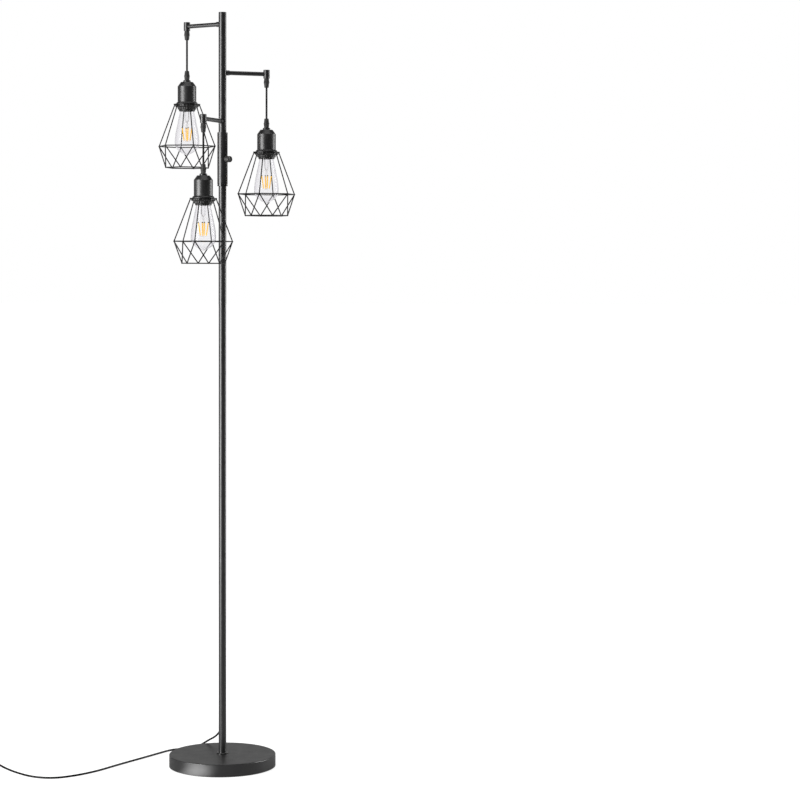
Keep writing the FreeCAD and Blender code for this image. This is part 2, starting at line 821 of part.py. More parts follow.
def retaining_ring(number):
    bore = "socket_dia / 2 + fit"
    low = f"{PLATE_LOW} + fit"
    step = f"{low} + ring_flange_thick"
    return lathe(f"retaining_ring_{number}", [
        (bore, low),
        ("ring_flange_dia / 2 - ring_flange_edge", low),
        ("ring_flange_dia / 2", f"{low} + ring_flange_edge"),
        ("ring_flange_dia / 2 - ring_flange_taper", step),
        ("ring_hub_dia / 2", step),
        ("ring_hub_dia / 2 - ring_hub_taper", f"{step} + ring_hub_tall"),
        (bore, f"{step} + ring_hub_tall"),
    ], pendant_place(number))


BASE_TIP = f"{GLASS_START} + bulb_base_inset - bulb_base_tall"
CONTACT_CORNERS = [(4.5, 0.5), (5.5, 3.0)]
CONTACT_TALL = 5.0


def bulb_base(number):
    outer = "bulb_base_dia / 2"
    rim = f"{GLASS_START} + bulb_base_crimp"
    inside = f"{outer} - bulb_base_wall"
    contact = [(str(across), f"{BASE_TIP} + {along}") for across, along in CONTACT_CORNERS]
    return lathe(f"bulb_base_{number}", [("0", BASE_TIP)] + contact + [
        (outer, f"{BASE_TIP} + {CONTACT_TALL}"),
        (outer, rim),
        (inside, rim),
        (inside, GLASS_START),
        ("0", GLASS_START),
    ], pendant_place(number))


def glass_outline(inset, end_corners):
    """The bulb's side from its neck down: a neck, a long slope, a wide shoulder and a rounded end."""
    wide = f"{SOCKET_END} + bulb_wide_below"
    side = "bulb_dia / 2 - bulb_side_radius"
    shoulder = "bulb_dia / 2 - bulb_shoulder_radius"
    end_r = f"{shoulder} + (bulb_shoulder_radius - bulb_end_radius) * cos(bulb_shoulder_turn)"
    end_z = f"{wide} + (bulb_shoulder_radius - bulb_end_radius) * sin(bulb_shoulder_turn)"
    start = f"{GLASS_START} + fit"
    corners = [
        (f"glass_neck - {inset}", start),
        (f"glass_neck - {inset}", f"{start} + bulb_throat_tall"),
        (f"bulb_neck_dia / 2 - {inset}", f"{start} + bulb_neck_low"),
        (f"bulb_neck_dia / 2 - {inset}", f"{start} + bulb_neck_tall"),
        (f"{side} + (bulb_side_radius - {inset}) * cos(bulb_side_turn)",
         f"{wide} - (bulb_side_radius - {inset}) * sin(bulb_side_turn)"),
        (f"bulb_dia / 2 - {inset}", wide, f"bulb_side_radius - {inset}"),
        (f"{shoulder} + (bulb_shoulder_radius - {inset}) * cos(bulb_shoulder_turn)",
         f"{wide} + (bulb_shoulder_radius - {inset}) * sin(bulb_shoulder_turn)",
         f"bulb_shoulder_radius - {inset}"),
        (f"{end_r} + (bulb_end_radius - {inset}) * cos(bulb_end_turn)",
         f"{end_z} + (bulb_end_radius - {inset}) * sin(bulb_end_turn)",
         f"bulb_end_radius - {inset}"),
    ]
    return corners + end_corners(end_r, end_z) + [("0", start)]


def bulb_glass(number):
    def outside_end(end_r, end_z):
        low = f"{end_z} + bulb_end_radius * sin(bulb_end_turn)"
        return [
            ("bulb_tip_dia / 2", f"{low} + bulb_tip_root"),
            ("bulb_tip_dia / 2 - bulb_tip_round", f"{low} + bulb_tip_tall - bulb_tip_round"),
            ("0", f"{low} + bulb_tip_tall"),
        ]

    def inside_end(end_r, end_z):
        return [("0", f"{end_z} + (bulb_end_radius - glass_wall) * sin(bulb_end_turn) + bulb_end_thicker")]
    outside = lathe(f"glass_outside_{number}", glass_outline("0", outside_end), pendant_place(number))
    inside = lathe(f"glass_inside_{number}", glass_outline("glass_wall", inside_end), pendant_place(number))
    return cut(f"bulb_glass_{number}", outside, inside)


# ---------------------------------------------------------------- wire work

def vector(x, y, z):
    return FreeCAD.Vector(x, y, z)


def polar(radius, turn, z):
    angle = math.radians(turn)
    return vector(radius * math.cos(angle), radius * math.sin(angle), z)


def wire(start, end, radius):
    return Part.makeCylinder(radius, (end - start).Length, start, end - start)


def made(label, shape, place):
    """A piece whose shape comes straight from its own curves and solids."""
    feature = doc.addObject("Part::Feature", label)
    feature.Shape = shape
    bind(feature, "Placement", place)
    return feature


CAGE_SIDES = 6


def hexagon_wires(corners, first_turn):
    """A bent wire, as six straight lengths that meet at their mitres."""
    radius = value("cage_wire_dia") / 2
    step = 360 / CAGE_SIDES
    lengths = []
    for k, start in enumerate(corners):
        end = corners[(k + 1) % CAGE_SIDES]
        along = (end - start).normalize()
        whole = wire(start - along * radius, end + along * radius, radius)
        wedge = Part.makeCylinder(2 * start.Length, 4 * radius, vector(0, 0, start.z - 2 * radius),
                                  vector(0, 0, 1), step)
        wedge.rotate(vector(0, 0, 0), vector(0, 0, 1), first_turn + step * k)
        lengths.append(whole.common(wedge))
    return lengths


def cage_shape():
    """Six spokes, a hexagonal belt, a smaller hexagon turned by half a side, and the zigzag between.
    The plate that the lampholder clamps closes the top. Each straight length of wire is a solid of
    its own, trimmed where it is welded to the others. The height is 0 at the plate's underside."""
    radius = value("cage_wire_dia") / 2
    thick = value("cage_plate_thick")
    belt_z = thick - value("cage_belt_below")
    foot_z = thick - value("cage_foot_below")
    step = 360 / CAGE_SIDES
    belt_corners = [polar(value("cage_belt_radius"), step * k, belt_z) for k in range(CAGE_SIDES)]
    foot_corners = [polar(value("cage_foot_radius"), step * (k + 0.5), foot_z) for k in range(CAGE_SIDES)]
    belt = hexagon_wires(belt_corners, 0)
    foot = hexagon_wires(foot_corners, step / 2)
    plate = Part.makeCylinder(value("cage_plate_dia") / 2, thick)
    plate = plate.cut(Part.makeCylinder(value("socket_dia / 2 + loose_fit"), thick))
    spokes = []
    falling = []
    rising = []
    for k in range(CAGE_SIDES):
        start = polar(value("cage_spoke_radius"), step * k, thick / 2)
        spokes.append(wire(start, belt_corners[k], radius).cut([plate, belt[k - 1], belt[k]]))
    for k in range(CAGE_SIDES):
        rods = [belt[k - 1], belt[k], foot[k - 1], foot[k]]
        falling.append(wire(belt_corners[k], foot_corners[k], radius).cut(rods + [spokes[k]]))
    for k in range(CAGE_SIDES):
        following = (k + 1) % CAGE_SIDES
        rods = [belt[k], belt[following], foot[k - 1], foot[k]]
        rising.append(wire(belt_corners[following], foot_corners[k], radius)
                      .cut(rods + [spokes[following], falling[following], falling[k]]))
    return Part.makeCompound([plate] + belt + foot + spokes + falling + rising)


def cage(number, shape):
    place = (f"placement(vector({tip_x(number)}; {tip_y(number)}; {arm_height(number)} - ({PLATE_LOW}));"
             f" rotation(vector(0;0;1); cage_{number}_turn))")
    return made(f"cage_{number}", shape.copy(), place)


FILAMENTS = 4


def mount_shape():
    """The glass stem, its rod, and four filaments on thin wires. The height is 0 at the stem's foot."""
    stem = value("stem_dia") / 2
    length = value("stem_length")
    thin = value("rod_dia") / 2
    pinch = value("pinch_dia") / 2
    flare = value("glass_neck - glass_wall - stem_fit")
    end_z = -value("filament_end_below + filaments_start")
    outline = [(0, 0), (flare, 0), (stem, -value("flare_tall")), (stem, value("stem_taper") - length),
               (pinch, -length), (pinch, -length - value("pinch_tall")),
               (thin, -length - value("pinch_end")), (thin, end_z - value("rod_proud")),
               (0, end_z - value("rod_proud"))]
    points = [vector(across, 0, height) for across, height in outline]
    profile = Part.Face(Part.makePolygon(points + points[:1]))
    solid = profile.revolve(vector(0, 0, 0), vector(0, 0, 1), 360)
    top_z = -value("filament_top_below + filaments_start")
    hook = value("filament_wire_lap")
    thread = value("filament_wire_dia") / 2
    parts = []
    for k in range(FILAMENTS):
        turn = value("filament_turn") + 360 / FILAMENTS * k
        top = polar(value("filament_top_radius"), turn, top_z)
        end = polar(value("filament_end_radius"), turn, end_z)
        parts.append(wire(top, end, value("filament_dia") / 2))
        parts.append(wire(vector(0, 0, -length - value("pinch_tall") - hook), top - vector(0, 0, hook), thread))
        parts.append(wire(vector(0, 0, end_z - hook / 2), end + vector(0, 0, hook), thread))
    return solid.fuse(parts)


def bulb_mount(number, shape):
    place = upright(tip_x(number), tip_y(number), f"{arm_height(number)} - ({GLASS_START} + fit)")
    return made(f"bulb_mount_{number}", shape.copy(), place)


# ---------------------------------------------------------------- wiring and cord

ARC_SHARE = 0.45


def rounded_path(points):
    """Straight runs joined by tangent arcs, each as large as its two runs allow."""
    edges = []
    radii = []
    previous = points[0]
    for before, corner, after in zip(points, points[1:], points[2:]):
        arriving = corner - before
        leaving = after - corner
        shorter = min(arriving.Length, leaving.Length)
        turn = arriving.getAngle(leaving)
        trim = ARC_SHARE * shorter
        start = corner - arriving.normalize() * trim
        end = corner + leaving.normalize() * trim
        radii.append(trim / math.tan(turn / 2))
        inward = (leaving - arriving).normalize()
        sagitta = radii[-1] * (1 / math.cos(turn / 2) - 1)
        edges.append(Part.LineSegment(previous, start).toShape())
        edges.append(Part.Arc(start, corner + inward * sagitta, end).toShape())
        previous = end
    edges.append(Part.LineSegment(previous, points[-1]).toShape())
    return Part.Wire(edges), radii


def swept(path, radius):
    """A round tube along a path."""
    start = path.Vertexes[0].Point
    heading = path.Edges[0].tangentAt(path.Edges[0].FirstParameter)
    section = Part.Wire(Part.Circle(start, heading, radius).toShape())
    return path.makePipeShell([section], True, False)


def arm_lead(number):
    """A lead from the switch up the pole, out along an arm and down into its grip."""
    reach = value("arm_reach")
    height = value(arm_height(number))
    bend = value("arm_lead_bend")
    turn = value(arm_turn(number))
    inner = value("arm_lead_offset")
    start = value("switch_height + switch_tall / 2")
    end = height - value(f"{UPPER_TIP} - cord_inset - lead_gap")
    corner = bend * (1 - math.sqrt(0.5))
    edges = [
        Part.LineSegment(polar(inner, turn, start), polar(inner, turn, height - bend)),
        Part.Arc(polar(inner, turn, height - bend), polar(inner + corner, turn, height - corner),
                 polar(inner + bend, turn, height)),
        Part.LineSegment(polar(inner + bend, turn, height), polar(reach - bend, turn, height)),
        Part.Arc(polar(reach - bend, turn, height), polar(reach - corner, turn, height - corner),
                 polar(reach, turn, height - bend)),
        Part.LineSegment(polar(reach, turn, height - bend), polar(reach, turn, end)),
    ]
    path = Part.Wire([edge.toShape() for edge in edges])
    return swept(path, value("arm_lead_dia") / 2)


def pole_lead():
    """The cord inside the pole, from the bushing up to the switch."""
    height = value("exit_height")
    bend = value("pole_dia / 2 - pole_wall - cord_dia / 2")
    corner = bend * (1 - math.sqrt(0.5))
    start = vector(0, value("pole_dia / 2 - pole_wall"), height)
    edges = [
        Part.LineSegment(start, vector(0, bend, height)),
        Part.Arc(vector(0, bend, height), vector(0, corner, height + corner), vector(0, 0, height + bend)),
        Part.LineSegment(vector(0, 0, height + bend), vector(0, 0, value("switch_height - switch_tall / 2"))),
    ]
    return swept(Part.Wire([edge.toShape() for edge in edges]), value("cord_dia") / 2)


BUSHING_START = "pole_dia / 2 - pole_wall"
BUSHING_END = "pole_dia / 2 + bushing_length"


def cord_bushing():
    """A grommet in the pole's wall that tapers along the cord."""
    seat = "pole_dia / 2 + bushing_seat_gap"
    flange = f"{seat} + bushing_flange_thick"
    return lathe("cord_bushing", [
        ("cord_dia / 2 + fit", BUSHING_START),
        ("bushing_dia / 2", BUSHING_START),
        ("bushing_dia / 2", seat),
        ("bushing_flange_dia / 2", seat),
        ("bushing_flange_dia / 2", flange),
        ("bushing_dia / 2 + bushing_root", flange),
        ("bushing_tip_dia / 2", BUSHING_END),
        ("cord_dia / 2 + fit", BUSHING_END),
    ], radial("90", "exit_height"))


def floor_height():
    return value("cord_dia / 2 + floor_gap")


def route_points():
    """The route of the cord's tube, from inside the pole to the coil."""
    start = vector(0, value(BUSHING_START), value("exit_height"))
    air = [vector(*point) for point in AIR_ROUTE]
    floor = [vector(x, y, floor_height()) for x, y in FLOOR_ROUTE]
    return [start] + air + floor


def tube_report(label, solid, path, radius):
    length = path.Length
    section = math.pi * radius * radius
    share = solid.Volume / section / length
    print(f"{label}: length {length:.1f}, volume over section times length {share:.4f}")


def floor_cord():
    radius = value("cord_dia") / 2
    points = route_points()
    path, radii = rounded_path(points)
    solid = swept(path, radius)
    print("floor_cord radii:", " ".join(f"{r:.0f}" for r in radii))
    tube_report("floor_cord", solid, path, radius)
    return made("floor_cord", solid, upright("0", "0", "0")), path


def level(direction):
    return vector(direction.x, direction.y, 0).normalize()


def half_turn(start, heading, radius, rise):
    """A half circle to the left of a level heading. A rise tilts it, and its ends stay level."""
    left = vector(-heading.y, heading.x, 0)
    end = start + left * (2 * radius) + vector(0, 0, rise)
    middle = (start + end) * 0.5 + heading * ((end - start).Length / 2)
    return Part.Arc(start, middle, end).toShape(), end


def coil_path(start, heading):
    """Loops that spiral in on the floor, climb once, and spiral out on top of themselves."""
    pitch = value("cord_dia + coil_turn_gap")
    lead = value("cord_dia")
    outer = value("coil_outer_radius")
    inward = (COIL_HALF_TURNS - 1) // 2
    edges = [Part.LineSegment(start, start + heading * lead).toShape()]
    point = start + heading * lead
    for turn in range(COIL_HALF_TURNS):
        steps = min(turn, COIL_HALF_TURNS - 1 - turn)
        rise = pitch if turn == inward else 0
        edge, point = half_turn(point, heading, outer - steps * pitch / 2, rise)
        edges.append(edge)
        heading = heading * -1
    edges.append(Part.LineSegment(point, point + heading * lead).toShape())
    return Part.Wire(edges), point + heading * lead, heading


def least_self_gap(path, diameter):
    """The least clear distance between stretches of a coil that are a third of a loop apart or more."""
    spacing = 2.0
    points = path.discretize(Distance=spacing)
    skip = int(value("coil_outer_radius") * 2 * math.pi / 3 / spacing)
    least = min(a.distanceToPoint(b) for i, a in enumerate(points) for b in points[i + skip:])
    return least - diameter


def cord_coil(floor_path):
    radius = value("cord_dia") / 2
    last = floor_path.Edges[-1]
    start = last.Vertexes[-1].Point
    heading = level(last.tangentAt(last.LastParameter))
    path, end, heading = coil_path(start, heading)
    solid = swept(path, radius)
    tube_report("cord_coil", solid, path, radius)
    print(f"cord_coil: least gap to itself {least_self_gap(path, 2 * radius):.2f}")
    return made("cord_coil", solid, upright("0", "0", "0")), end, heading


def plug_body():
    """A flat moulded plug that lies on the floor, with a tapered tail round the cord."""
    width = value("plug_width")
    thick = value("plug_thick")
    tail = value("plug_tail_length")
    length = value("plug_length")
    body = Part.makeBox(length, width, thick, vector(tail, -width / 2, -thick / 2))
    edges = [edge for edge in body.Edges if abs(edge.Vertexes[0].Z - edge.Vertexes[1].Z) > 1]
    body = body.makeFillet(value("plug_corner"), edges)
    taper = Part.makeCone(value("cord_dia / 2 + plug_tail_rim"), value("plug_tail_dia / 2"),
                          tail + value("plug_tail_lap"), vector(0, 0, 0), vector(1, 0, 0))
    solid = body.fuse(taper)
    spread = value("blade_spacing") / 2
    depth = value("blade_slot_depth")
    for side in (-spread, spread):
        slot = Part.makeBox(depth, value("blade_thick + fit"), value("blade_width + fit"),
                            vector(tail + length - depth, side - value("blade_thick + fit") / 2,
                                   -value("blade_width + fit") / 2))
        solid = solid.cut(slot)
    return solid


def plug_blades():
    tail = value("plug_tail_length")
    length = value("plug_length")
    spread = value("blade_spacing") / 2
    root = value("blade_root")
    blades = []
    for side in (-spread, spread):
        blades.append(Part.makeBox(value("blade_length") + root, value("blade_thick"), value("blade_width"),
                                   vector(tail + length - root, side - value("blade_thick") / 2,
                                          -value("blade_width") / 2)))
    return Part.makeCompound(blades)


def at_cord_end(end, heading):
    turn = math.degrees(math.atan2(heading.y, heading.x))
    return f"placement(vector({end.x};{end.y};{end.z}); rotation(vector(0;0;1); {turn}))"


# ---------------------------------------------------------------- the whole lamp

PENDANT_TURNED = [pendant_cord, lower_grip, neck_ring, socket_cap, socket, retaining_ring,
                  bulb_base, bulb_glass]

nodes = [base_cover(), base_weight(), base_pad(), foot_flange(), base_stud(), base_fasteners()]
nodes.append(lower_pole_1())
nodes.append(tube("lower_pole_2", section_end(1), section_end(2)))
nodes.append(tube("lower_pole_3", section_end(2), section_end(3)))
nodes += [pole_couplers(), upper_pole(), pole_cap()]
nodes += [switch_sleeve(), sleeve_end_ring(), switch_body(), switch_nut(), switch_knob()]
nodes += [arm_tube(number) for number in (1, 2, 3)]
nodes.append(group("arm_collars", [arm_collar(number) for number in (1, 2, 3)]))
nodes.append(group("arm_tees", [arm_tee(number) for number in (1, 2, 3)]))
nodes.append(group("upper_grips", [upper_grip(number) for number in (1, 2, 3)]))
nodes.append(made("pole_lead", pole_lead(), upright("0", "0", "0")))
arm_leads = Part.makeCompound([arm_lead(number) for number in (1, 2, 3)])
nodes.append(made("arm_leads", arm_leads, upright("0", "0", "0")))
nodes.append(cord_bushing())

cage_form = cage_shape()
mount_form = mount_shape()
for number in (1, 2, 3):
    nodes += [make(number) for make in PENDANT_TURNED]
    nodes.append(cage(number, cage_form))
    nodes.append(bulb_mount(number, mount_form))

cord, cord_path = floor_cord()
coil, coil_end, coil_heading = cord_coil(cord_path)
plug_place = at_cord_end(coil_end, coil_heading)
nodes += [cord, coil]
nodes.append(made("plug_body", plug_body(), plug_place))
nodes.append(made("plug_blades", plug_blades(), plug_place))

doc.recompute()
for thing in doc.Objects:
    if "Invalid" in thing.State or "Error" in thing.State:
        raise SystemExit(f"{thing.Label} failed: {thing.State}")
os.makedirs("parts", exist_ok=True)
for node in nodes:
    if node.Shape.isNull() or not node.Shape.isValid():
        raise SystemExit(f"{node.Label} has no valid shape")
for node in nodes:
    node.Shape.exportStep(f"parts/{node.Label}.step")
print(len(nodes), "nodes")
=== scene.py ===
import math
import bpy
from mathutils import Matrix, Vector


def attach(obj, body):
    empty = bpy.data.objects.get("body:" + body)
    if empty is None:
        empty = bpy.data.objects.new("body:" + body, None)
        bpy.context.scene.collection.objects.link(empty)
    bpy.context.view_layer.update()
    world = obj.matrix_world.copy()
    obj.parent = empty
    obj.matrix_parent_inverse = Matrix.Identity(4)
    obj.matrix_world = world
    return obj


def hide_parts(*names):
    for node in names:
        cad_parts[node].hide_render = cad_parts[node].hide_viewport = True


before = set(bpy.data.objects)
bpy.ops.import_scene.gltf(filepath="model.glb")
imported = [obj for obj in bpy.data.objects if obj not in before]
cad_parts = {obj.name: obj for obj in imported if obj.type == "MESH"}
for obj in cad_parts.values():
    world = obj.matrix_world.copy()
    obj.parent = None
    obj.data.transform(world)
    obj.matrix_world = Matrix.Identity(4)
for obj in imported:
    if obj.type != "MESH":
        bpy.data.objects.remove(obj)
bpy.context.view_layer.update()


# ---------------------------------------------------------------- base
# A spun steel shell over a cement slab, sprayed with satin black powder. A thin black non-slip pad
# closes the underside, and a washer and hex nut clamp the slab to the stud that carries the pole.

MM = 0.001


def node(tree, kind, inputs=None, **settings):
    """Add a shader node, set its options, and give each named input a value or a link."""
    added = tree.nodes.new("ShaderNode" + kind)
    for name, setting in settings.items():
        setattr(added, name, setting)
    for name, given in (inputs or {}).items():
        if isinstance(given, bpy.types.NodeSocket):
            tree.links.new(given, added.inputs[name])
        else:
            added.inputs[name].default_value = given
    return added


def noise(tree, place, scale, detail, **sockets):
    """A cloudy mask of the given scale and detail."""
    inputs = {"Vector": place, "Scale": scale, "Detail": detail, **sockets}
    return node(tree, "TexNoise", inputs).outputs["Fac"]


def remap(tree, value, ends, gives=(0.0, 1.0), **settings):
    """A value that runs between two ends, stretched to run between two others."""
    (low, high), (first, last) = ends, gives
    inputs = {"Value": value, "From Min": low, "From Max": high, "To Min": first, "To Max": last}
    return node(tree, "MapRange", inputs, **settings).outputs["Result"]


def combine(tree, first, operation, second):
    """One value worked out of two."""
    return node(tree, "Math", {0: first, 1: second}, operation=operation).outputs[0]


def length_of(tree, vector):
    """How long a vector is."""
    return node(tree, "VectorMath", {0: vector}, operation="LENGTH").outputs["Value"]


def layered(tree, mask, under, over):
    """One colour with another over it, as far as a mask says."""
    shades = [shade if isinstance(shade, bpy.types.NodeSocket) else (*shade, 1) for shade in (under, over)]
    return node(tree, "Mix", {0: mask, 6: shades[0], 7: shades[1]}, data_type="RGBA").outputs[2]


def effect(name, takes, gives):
    """Start a shader group with named inputs and outputs. Returns its tree, its inputs and its outputs."""
    tree = bpy.data.node_groups.new(name, "ShaderNodeTree")
    for label, given in takes.items():
        kind = "NodeSocketVector" if given is None or isinstance(given, tuple) else "NodeSocketFloat"
        socket = tree.interface.new_socket(label, in_out="INPUT", socket_type=kind)
        if given is not None:
            socket.default_value = given
    for label in gives:
        tree.interface.new_socket(label, in_out="OUTPUT", socket_type="NodeSocketFloat")
    return tree, tree.nodes.new("NodeGroupInput").outputs, tree.nodes.new("NodeGroupOutput").inputs


def use(tree, group, **inputs):
    """Place an effect in a material and return its outputs."""
    return node(tree, "Group", inputs, node_tree=group).outputs


def finish(name, **sockets):
    """A material with constants on its shader. Returns it, its tree, its shader and the object's place."""
    material = bpy.data.materials.new(name)
    material.use_nodes = True
    tree = material.node_tree
    shader = tree.nodes["Principled BSDF"]
    for socket, given in sockets.items():
        shader.inputs[socket.replace("_", " ")].default_value = given
    return material, tree, shader, node(tree, "TexCoord").outputs["Object"]


def relief(tree, shader, height, depth):
    """Fine surface relief of the given depth in metres."""
    bump = node(tree, "Bump", {"Strength": 1.0, "Distance": depth, "Height": height})
    tree.links.new(bump.outputs["Normal"], shader.inputs["Normal"])


def worked(tree, shader, mask, dark, light, smooth, rough, depth, height=None):
    """Colour and roughness that follow a mask, and relief that follows it or a height of its own."""
    colour = layered(tree, mask, dark, light)
    tree.links.new(colour, shader.inputs["Base Color"])
    tree.links.new(remap(tree, mask, (0.0, 1.0), (smooth, rough)), shader.inputs["Roughness"])
    relief(tree, shader, height or mask, depth)
    return colour


def paint(material, *names):
    """Give CAD nodes a finish."""
    for name in names:
        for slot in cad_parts[name].material_slots:
            slot.material = material


# Powder sprayed on and baked: a fine orange peel, and clouds where the coat is a little thicker.
sprayed, taken, given = effect("Sprayed powder", {"Place": None, "Grain": 1400.0}, ["Peel", "Cloud"])
peel = noise(sprayed, taken["Place"], taken["Grain"], 2.0, Roughness=0.55)
cloud = noise(sprayed, taken["Place"], 34.0, 4.0, Roughness=0.6)
sprayed.links.new(peel, given["Peel"])
sprayed.links.new(remap(sprayed, cloud, (0.34, 0.66)), given["Cloud"])

# Wear along a turned rim: a ring about an upright axis, broken up where hands and cartons rub.
rim_wear, taken, given = effect(
    "Rim wear", {"Place": None, "Centre": (0.0, 0.0, 0.0), "Radius": 0.01, "Width": 0.001}, ["Wear"])
offset = node(rim_wear, "VectorMath", {0: taken["Place"], 1: taken["Centre"]}, operation="SUBTRACT")
parts = node(rim_wear, "SeparateXYZ", {0: offset.outputs[0]}).outputs
across = length_of(rim_wear, node(rim_wear, "CombineXYZ", {0: parts[0], 1: parts[1]}).outputs[0])
away = combine(rim_wear, across, "SUBTRACT", taken["Radius"])
near = length_of(rim_wear, node(rim_wear, "CombineXYZ", {0: away, 1: parts[2]}).outputs[0])
ring = remap(rim_wear, near, (0.0, taken["Width"]), (1.0, 0.0), interpolation_type="SMOOTHSTEP")
rubbed = remap(rim_wear, noise(rim_wear, taken["Place"], 260.0, 5.0, Roughness=0.7), (0.42, 0.62))
rim_wear.links.new(combine(rim_wear, ring, "MULTIPLY", rubbed), given["Wear"])

# Dust settles on what faces up, in soft uneven specks.
dust, taken, given = effect("Settled dust", {"Place": None, "Amount": 0.3}, ["Dust"])
facing = node(dust, "SeparateXYZ", {0: node(dust, "NewGeometry").outputs["Normal"]}).outputs[2]
upward = remap(dust, facing, (0.75, 1.0))
specks = remap(dust, noise(dust, taken["Place"], 420.0, 6.0, Roughness=0.75), (0.45, 0.75))
lying = combine(dust, upward, "MULTIPLY", specks)
dust.links.new(combine(dust, lying, "MULTIPLY", taken["Amount"]), given["Dust"])

BLACK = (0.0090, 0.0088, 0.0092)
BLACK_THIN = (0.0125, 0.0122, 0.0128)
COAT_DUST = (0.16, 0.155, 0.15)
COAT_RUBBED = (0.10, 0.10, 0.105)
GLOSS_PEEL = 0.0025 * MM


def powder_coat(name, dark, light, smooth, rough, grain=1400.0, depth=0.004 * MM, rims=(), dusty=0.25,
                gloss=1.0):
    """Black powder coat. Each rim is (centre, radius, width), where the coat is rubbed a little brighter."""
    material, tree, shader, place = finish(name, Specular_IOR_Level=gloss)
    spray = use(tree, sprayed, Place=place, Grain=grain)
    settled = use(tree, dust, Place=place, Amount=dusty)["Dust"]
    colour = layered(tree, settled, layered(tree, spray["Cloud"], dark, light), COAT_DUST)
    roughness = combine(tree, remap(tree, spray["Cloud"], (0.0, 1.0), (smooth, rough)), "ADD",
                        combine(tree, settled, "MULTIPLY", 0.5))
    for centre, radius, width in rims:
        wear = use(tree, rim_wear, Place=place, Centre=centre, Radius=radius, Width=width)["Wear"]
        colour = layered(tree, combine(tree, wear, "MULTIPLY", 0.5), colour, COAT_RUBBED)
        roughness = combine(tree, roughness, "ADD", combine(tree, wear, "MULTIPLY", -0.10))
    tree.links.new(colour, shader.inputs["Base Color"])
    tree.links.new(roughness, shader.inputs["Roughness"])
    relief(tree, shader, spray["Peel"], depth)
    return material


base_rim = ((0, 0, 28.5 * MM), 123.5 * MM, 2.2 * MM)
paint(powder_coat("base powder coat", (0.0075, 0.0073, 0.0077), (0.0105, 0.0102, 0.0108), 0.31, 0.38,
                  dusty=0.30, rims=[base_rim]), "base_cover")
paint(powder_coat("foot gloss black", BLACK, BLACK_THIN, 0.16, 0.24, depth=GLOSS_PEEL, dusty=0.2),
      "foot_flange")

cement, tree, shader, place = finish("cast cement")
pores = node(tree, "TexVoronoi", {"Vector": place, "Scale": 420.0}).outputs["Distance"]
worked(tree, shader, noise(tree, place, 160.0, 8.0, Roughness=0.7),
       (0.24, 0.235, 0.225), (0.46, 0.45, 0.43), 0.8, 0.98, 0.6 * MM, height=pores)
paint(cement, "base_weight")

pad, tree, shader, place = finish("black non-slip pad", Sheen_Weight=0.25, Sheen_Roughness=0.6)
worked(tree, shader, noise(tree, place, 2600.0, 4.0, Roughness=0.8),
       (0.012, 0.012, 0.012), (0.035, 0.034, 0.033), 0.85, 1.0, 0.4 * MM)
paint(pad, "base_pad")

zinc, tree, shader, place = finish("bright zinc plate", Metallic=1.0)
worked(tree, shader, noise(tree, place, 320.0, 5.0, Roughness=0.65),
       (0.52, 0.53, 0.55), (0.70, 0.70, 0.68), 0.22, 0.42, 0.08 * MM)
paint(zinc, "base_stud", "base_fasteners")


# ---------------------------------------------------------------- pole
# Four lengths of 18 mm steel tube, powder coated satin black. They screw together on short threaded
# joiners, so only a hairline shows at each joint. A pressed cap closes the top.

JOINT_HEIGHTS = (32.5, 486.7, 940.8, 1395.0, 1766.0)
joint_rims = [((0, 0, height * MM), 9.0 * MM, 1.6 * MM) for height in JOINT_HEIGHTS]
paint(powder_coat("pole powder coat", BLACK, BLACK_THIN, 0.31, 0.38, dusty=0.3, rims=joint_rims),
      "lower_pole_1", "lower_pole_2", "lower_pole_3", "upper_pole", "pole_cap")
paint(zinc, "pole_couplers")


# ---------------------------------------------------------------- switch
# A sleeve of 24 mm tube slides over the pole and holds a rotary switch, with a glossy trim ring at its
# lower end. A plated nut clamps the switch's moulded body in the sleeve.

SLEEVE_ENDS = (1367.3, 1487.8)
sleeve_rims = [((0, 0, height * MM), 12.0 * MM, 1.4 * MM) for height in SLEEVE_ENDS]
paint(powder_coat("sleeve powder coat", BLACK, BLACK_THIN, 0.31, 0.39, rims=sleeve_rims), "switch_sleeve")
paint(powder_coat("ring gloss black", BLACK, BLACK_THIN, 0.12, 0.18, depth=GLOSS_PEEL), "sleeve_end_ring")

# Moulded plastic: the fine spark grain of the mould, and faint flow clouds.
moulded, taken, given = effect("Moulded grain", {"Place": None, "Grain": 2200.0}, ["Grain", "Flow"])
cells = node(moulded, "TexVoronoi", {"Vector": taken["Place"], "Scale": taken["Grain"]}, feature="SMOOTH_F1")
flow = noise(moulded, taken["Place"], 90.0, 4.0, Distortion=0.6)
moulded.links.new(cells.outputs["Distance"], given["Grain"])
moulded.links.new(remap(moulded, flow, (0.35, 0.65)), given["Flow"])

PLASTIC_DUST = (0.15, 0.145, 0.14)


def plastic(name, dark, light, smooth, rough):
    """Moulded plastic or rubber, with a little dust on it."""
    material, tree, shader, place = finish(name)
    mould = use(tree, moulded, Place=place, Grain=2200.0)
    settled = use(tree, dust, Place=place, Amount=0.2)["Dust"]
    colour = worked(tree, shader, mould["Flow"], dark, light, smooth, rough, 0.04 * MM, height=mould["Grain"])
    tree.links.new(layered(tree, settled, colour, PLASTIC_DUST), shader.inputs["Base Color"])
    return material


paint(plastic("switch plastic", (0.020, 0.020, 0.020), (0.032, 0.031, 0.030), 0.40, 0.52), "switch_body")

nickel, tree, shader, place = finish("nickel plate", Metallic=1.0)
worked(tree, shader, noise(tree, place, 210.0, 4.0, Roughness=0.6),
       (0.58, 0.55, 0.50), (0.74, 0.72, 0.68), 0.14, 0.30, 0.05 * MM)
paint(nickel, "switch_nut")


# ---------------------------------------------------------------- arms
# Three short tubes stand out of the pole at different heights and directions. A collar covers each
# hole in the pole, and a short upright tee at the tip hides the turn of the wire.

